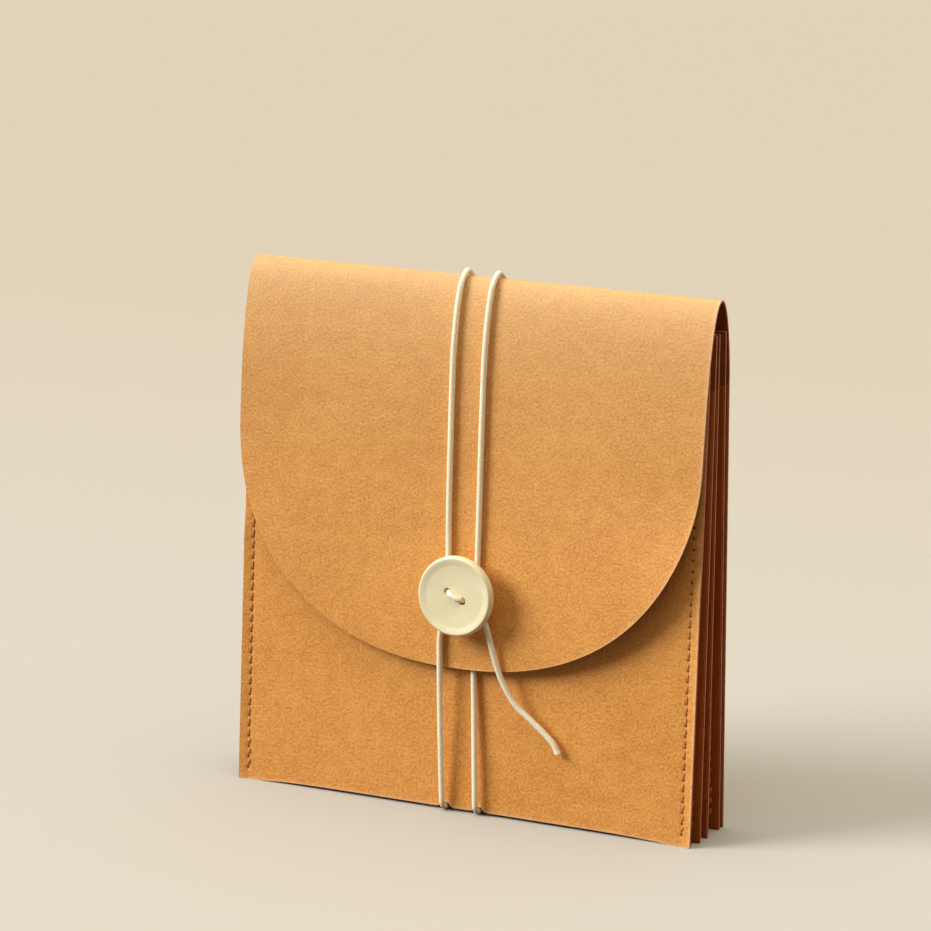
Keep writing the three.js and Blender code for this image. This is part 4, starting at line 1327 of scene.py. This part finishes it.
# Painted shade in the stitch holes, over a range of pit depths
PIT_SHADE = (0.14, 0.04, 0.007, 1)
PIT_SHADE_RANGE = (0.4, 0.65)
PIT_SHADE_SHARE = 0.97
GRAIN_DEPTH = 0.00012
SHEET_SHEEN = 0.8


def new_material(name):
    """A material with a principled shader, as its tree and the shader's inputs."""
    material = bpy.data.materials.new(name)
    material.use_nodes = True
    return material, material.node_tree, material.node_tree.nodes["Principled BSDF"].inputs


def bump(tree, height, distance, strength):
    """A normal that is tilted by the slope of a height."""
    inputs = {"Height": height, "Distance": distance, "Strength": strength}
    return add_node(tree, "Bump", inputs).outputs[0]


def make_sheet_material(name, colors, marks, clouds, whole=False, edge_shade=None):
    """Grain with its roughness and bump. A whole sheet also has pits painted dark as shade at its stitches,
    edges painted paler as rubbing and highlight, and a painted highlight at the fold. A cut edge is painted
    darker as shade where it counts as far from the rim."""
    material, tree, shader = new_material(name)
    place = add_node(tree, "UVMap", uv_map="cut").outputs[0]
    inputs = {"Place": place, "Light": colors[0], "Dark": colors[1], "Marks": marks, "Clouds": clouds}
    grain = use_group(tree, sheet_grain, inputs)
    color = grain["Color"]
    if whole:
        distance = point_value(tree, "rim_distance")
        # Edges painted paler: partly rubbing, partly a painted highlight
        rub_highlight = use_group(tree, rub_highlight_edge, {"Place": place, "Distance": distance, "Reach": RUB_HIGHLIGHT_REACH})
        color = between(tree, calculate(tree, "MULTIPLY", rub_highlight["Mask"], RUB_HIGHLIGHT_SHARE), color, RUB_HIGHLIGHT_COLOR)
        # A highlight painted paler near the fold
        highlight = calculate(tree, "MULTIPLY", point_value(tree, "painted_fold_highlight"), FOLD_HIGHLIGHT_SHARE)
        color = between(tree, highlight, color, FOLD_HIGHLIGHT_COLOR)
        # Stitch pits are painted dark, as shade in the holes
        pit = spread(tree, point_value(tree, "stitch_pit"), *PIT_SHADE_RANGE, 0.0, PIT_SHADE_SHARE)
        color = between(tree, pit, color, PIT_SHADE)
    # Cut edges that count as far from the rim, on the left, are painted darker as shade
    if edge_shade:
        distance = point_value(tree, "rim_distance")
        color = between(tree, spread(tree, distance, *LEFT_EDGE_SHADE_RANGE), color, edge_shade)
    tree.links.new(color, shader["Base Color"])
    tree.links.new(grain["Roughness"], shader["Roughness"])
    tree.links.new(bump(tree, grain["Height"], GRAIN_DEPTH, 0.5), shader["Normal"])
    shader["Specular IOR Level"].default_value = 0.45
    shader["Sheen Weight"].default_value = SHEET_SHEEN if whole else 0
    shader["Sheen Roughness"].default_value = 0.35
    return material


tan_sheet = make_sheet_material("tan_sheet", TAN, marks=1.0, clouds=0.3, whole=True)
cut_edge = make_sheet_material("cut_edge", CUT, marks=0.8, clouds=0.3, edge_shade=LEFT_EDGE_SHADE)
inner_shade = make_sheet_material("inner_shade", INNER_SHADE, marks=0.7, clouds=0.35)
strip_shade = make_sheet_material("strip_shade", STRIP_SHADE, marks=0.5, clouds=0.35)
finishes = {piece: (tan_sheet, cut_edge, inner_shade) for piece in (cover, front)}
# Dividers and strips are painted the dark red-brown of painted shade all over
finishes.update({piece: (inner_shade, cut_edge, inner_shade) for piece in dividers})
finishes.update({piece: (strip_shade, strip_shade, strip_shade) for piece in pleats.values()})
for piece, materials in finishes.items():
    for material in materials:
        piece.data.materials.append(material)
print("sheet finishes", tan_sheet.name, cut_edge.name, inner_shade.name, strip_shade.name)

# %% [markdown]
# Cord and thread are twisted fibres that differ in colour and fineness. The thin cord also lets light
# through, so it stays pale on its far side. The button is cream resin, a little cloudy, with a satin gloss.

# %% Cord, thread and button finishes
CORD = ((1.0, 0.90, 0.71, 1), (0.92, 0.79, 0.57, 1))
THREAD = ((0.74, 0.33, 0.075, 1), (0.50, 0.19, 0.035, 1))
RESIN = ((0.90, 0.83, 0.56, 1), (0.84, 0.75, 0.48, 1))
FIBRE_DEPTH = 0.0001
STRAND_GLOW = (0.001, 0.0008, 0.0006)
RESIN_CLOUD_SCALE, RESIN_GLOSS_SCALE = 140, 420
RESIN_ROUGHNESS = (0.34, 0.46)
RESIN_GLOW = (0.002, 0.0015, 0.001)


def make_twist_material(name, colors, fineness, sheen, glow):
    """Twisted fibres with a faint sheen. Light also glows through them from the side that is lit."""
    material, tree, shader = new_material(name)
    place = add_node(tree, "Attribute", attribute_name="twist").outputs["Vector"]
    inputs = {"Place": place, "Light": colors[0], "Dark": colors[1], "Fineness": fineness}
    fibres = use_group(tree, fibre_twist, inputs)
    tree.links.new(fibres["Color"], shader["Base Color"])
    tree.links.new(bump(tree, fibres["Height"], FIBRE_DEPTH, 0.6), shader["Normal"])
    shader["Roughness"].default_value = 0.8
    shader["Sheen Weight"].default_value = sheen
    shader["Subsurface Weight"].default_value = glow
    shader["Subsurface Radius"].default_value = STRAND_GLOW
    shader["Subsurface Scale"].default_value = 1.0
    return material


def make_button_material():
    """Cream resin with faint clouds, satin."""
    material, tree, shader = new_material("cream_button")
    place = add_node(tree, "TexCoord").outputs["Object"]
    cloud = mottle(tree, place, RESIN_CLOUD_SCALE, 3, low=0.0, high=1.0)
    tree.links.new(between(tree, cloud, RESIN[1], RESIN[0]), shader["Base Color"])
    low, high = RESIN_ROUGHNESS
    gloss = mottle(tree, place, RESIN_GLOSS_SCALE, 2, low=low, high=high)
    tree.links.new(gloss, shader["Roughness"])
    shader["Subsurface Weight"].default_value = 0.1
    shader["Subsurface Radius"].default_value = RESIN_GLOW
    return material


cord_fibre = make_twist_material("cord_fibre", CORD, fineness=2600, sheen=0.5, glow=0.6)
sewing_thread = make_twist_material("sewing_thread", THREAD, fineness=5200, sheen=0.1, glow=0)
cream_button = make_button_material()
for piece in (cord, loop, knot):
    piece.data.materials.append(cord_fibre)
for piece in seams.values():
    piece.data.materials.append(sewing_thread)
button.data.materials.append(cream_button)
print("other finishes", cord_fibre.name, sewing_thread.name, cream_button.name)

# %% [markdown]
# The wallet stands on a plain beige floor that is wide enough to fill the picture. One soft lamp stands to
# the left in front of the wallet, so that the cord, the button and the flap throw their shadows down to the
# right. The world fills them from above, as a pale ceiling does, and leaves the wallet's right side dark.
# The strengths are set so that a colour renders about as it is written.

# %% The floor
FLOOR_NEAR = (0.468, 0.453, 0.41, 1)
FLOOR_FAR = (0.455, 0.412, 0.34, 1)
FADE_START = 0.1
FADE_END = 0.8
FLOOR_BOUNCE = (0.11, 0.085, 0.06, 1)
FLOOR_HALF = 6000
FLOOR_POINTS = 13


def seen_as_backdrop(tree):
    """One where the stage is looked at, straight or in a gloss, and nought where it only gives light."""
    path = add_node(tree, "LightPath").outputs
    glossy = calculate(tree, "MAXIMUM", path["Is Glossy Ray"], path["Is Transmission Ray"])
    return calculate(tree, "MAXIMUM", path["Is Camera Ray"], glossy)


def make_floor():
    """A wide, flat grid under the wallet's foot. Its colour is a little deeper far behind the wallet."""
    line = np.linspace(-FLOOR_HALF, FLOOR_HALF, FLOOR_POINTS)
    x, y = np.meshgrid(line, line)
    points = np.stack([x, y, np.zeros_like(x)], axis=-1).reshape(-1, 3)
    mesh = bpy.data.meshes.new("floor")
    mesh.from_pydata((points * MM).tolist(), [], grid_faces(FLOOR_POINTS, FLOOR_POINTS).tolist())
    floor = bpy.data.objects.new("floor", mesh)
    bpy.context.scene.collection.objects.link(floor)
    material, tree, shader = new_material("floor")
    place = add_node(tree, "TexCoord").outputs["Object"]
    depth = add_node(tree, "SeparateXYZ", {0: place}).outputs["Y"]
    seen = between(tree, spread(tree, depth, FADE_START, FADE_END), FLOOR_NEAR, FLOOR_FAR)
    color = between(tree, seen_as_backdrop(tree), FLOOR_BOUNCE, seen)
    tree.links.new(color, shader["Base Color"])
    shader["Roughness"].default_value = 0.9
    shader["Specular IOR Level"].default_value = 0.1
    mesh.materials.append(material)
    return floor


floor = make_floor()
print(floor.name, 2 * FLOOR_HALF * MM, "m wide")

# %% Lamp and world
KEY_LAMP = {"azimuth": -56, "elevation": 31, "width": 30, "level": 1.07}
WORLD_COLOR = (1, 0.91, 0.76, 1)
ZENITH_LEVEL = 3.4
BACKDROP_LEVEL = 0.75


def add_lamp(name, azimuth, elevation, width, level):
    """A far lamp that shines from an azimuth and an elevation and is as wide as an angle. A white sheet
    square to it renders at its level."""
    light = bpy.data.lights.new(name, "SUN")
    light.angle = math.radians(width)
    light.energy = math.pi * level
    back = direction(azimuth, elevation)
    return aim(name, light, back, back)


def make_world():
    """Light from overhead, as from a pale ceiling: the fourth power of the direction's height."""
    world = bpy.data.worlds.new("studio")
    world.use_nodes = True
    tree = world.node_tree
    background = tree.nodes["Background"].inputs
    toward = add_node(tree, "TexCoord").outputs["Generated"]
    height = add_node(tree, "SeparateXYZ", {0: toward}).outputs["Z"]
    rise = calculate(tree, "POWER", spread(tree, height, 0.0, 1.0), 4.0)
    glow = calculate(tree, "MULTIPLY", rise, ZENITH_LEVEL)
    inputs = {0: seen_as_backdrop(tree), 2: glow, 3: BACKDROP_LEVEL}
    level = add_node(tree, "Mix", inputs, data_type="FLOAT").outputs[0]
    background["Color"].default_value = WORLD_COLOR
    tree.links.new(level, background["Strength"])
    return world


lamp = add_lamp("key", **KEY_LAMP)
bpy.context.scene.world = make_world()
bpy.context.scene.view_settings.view_transform = "Standard"
print("stage set with lamp", lamp.name)
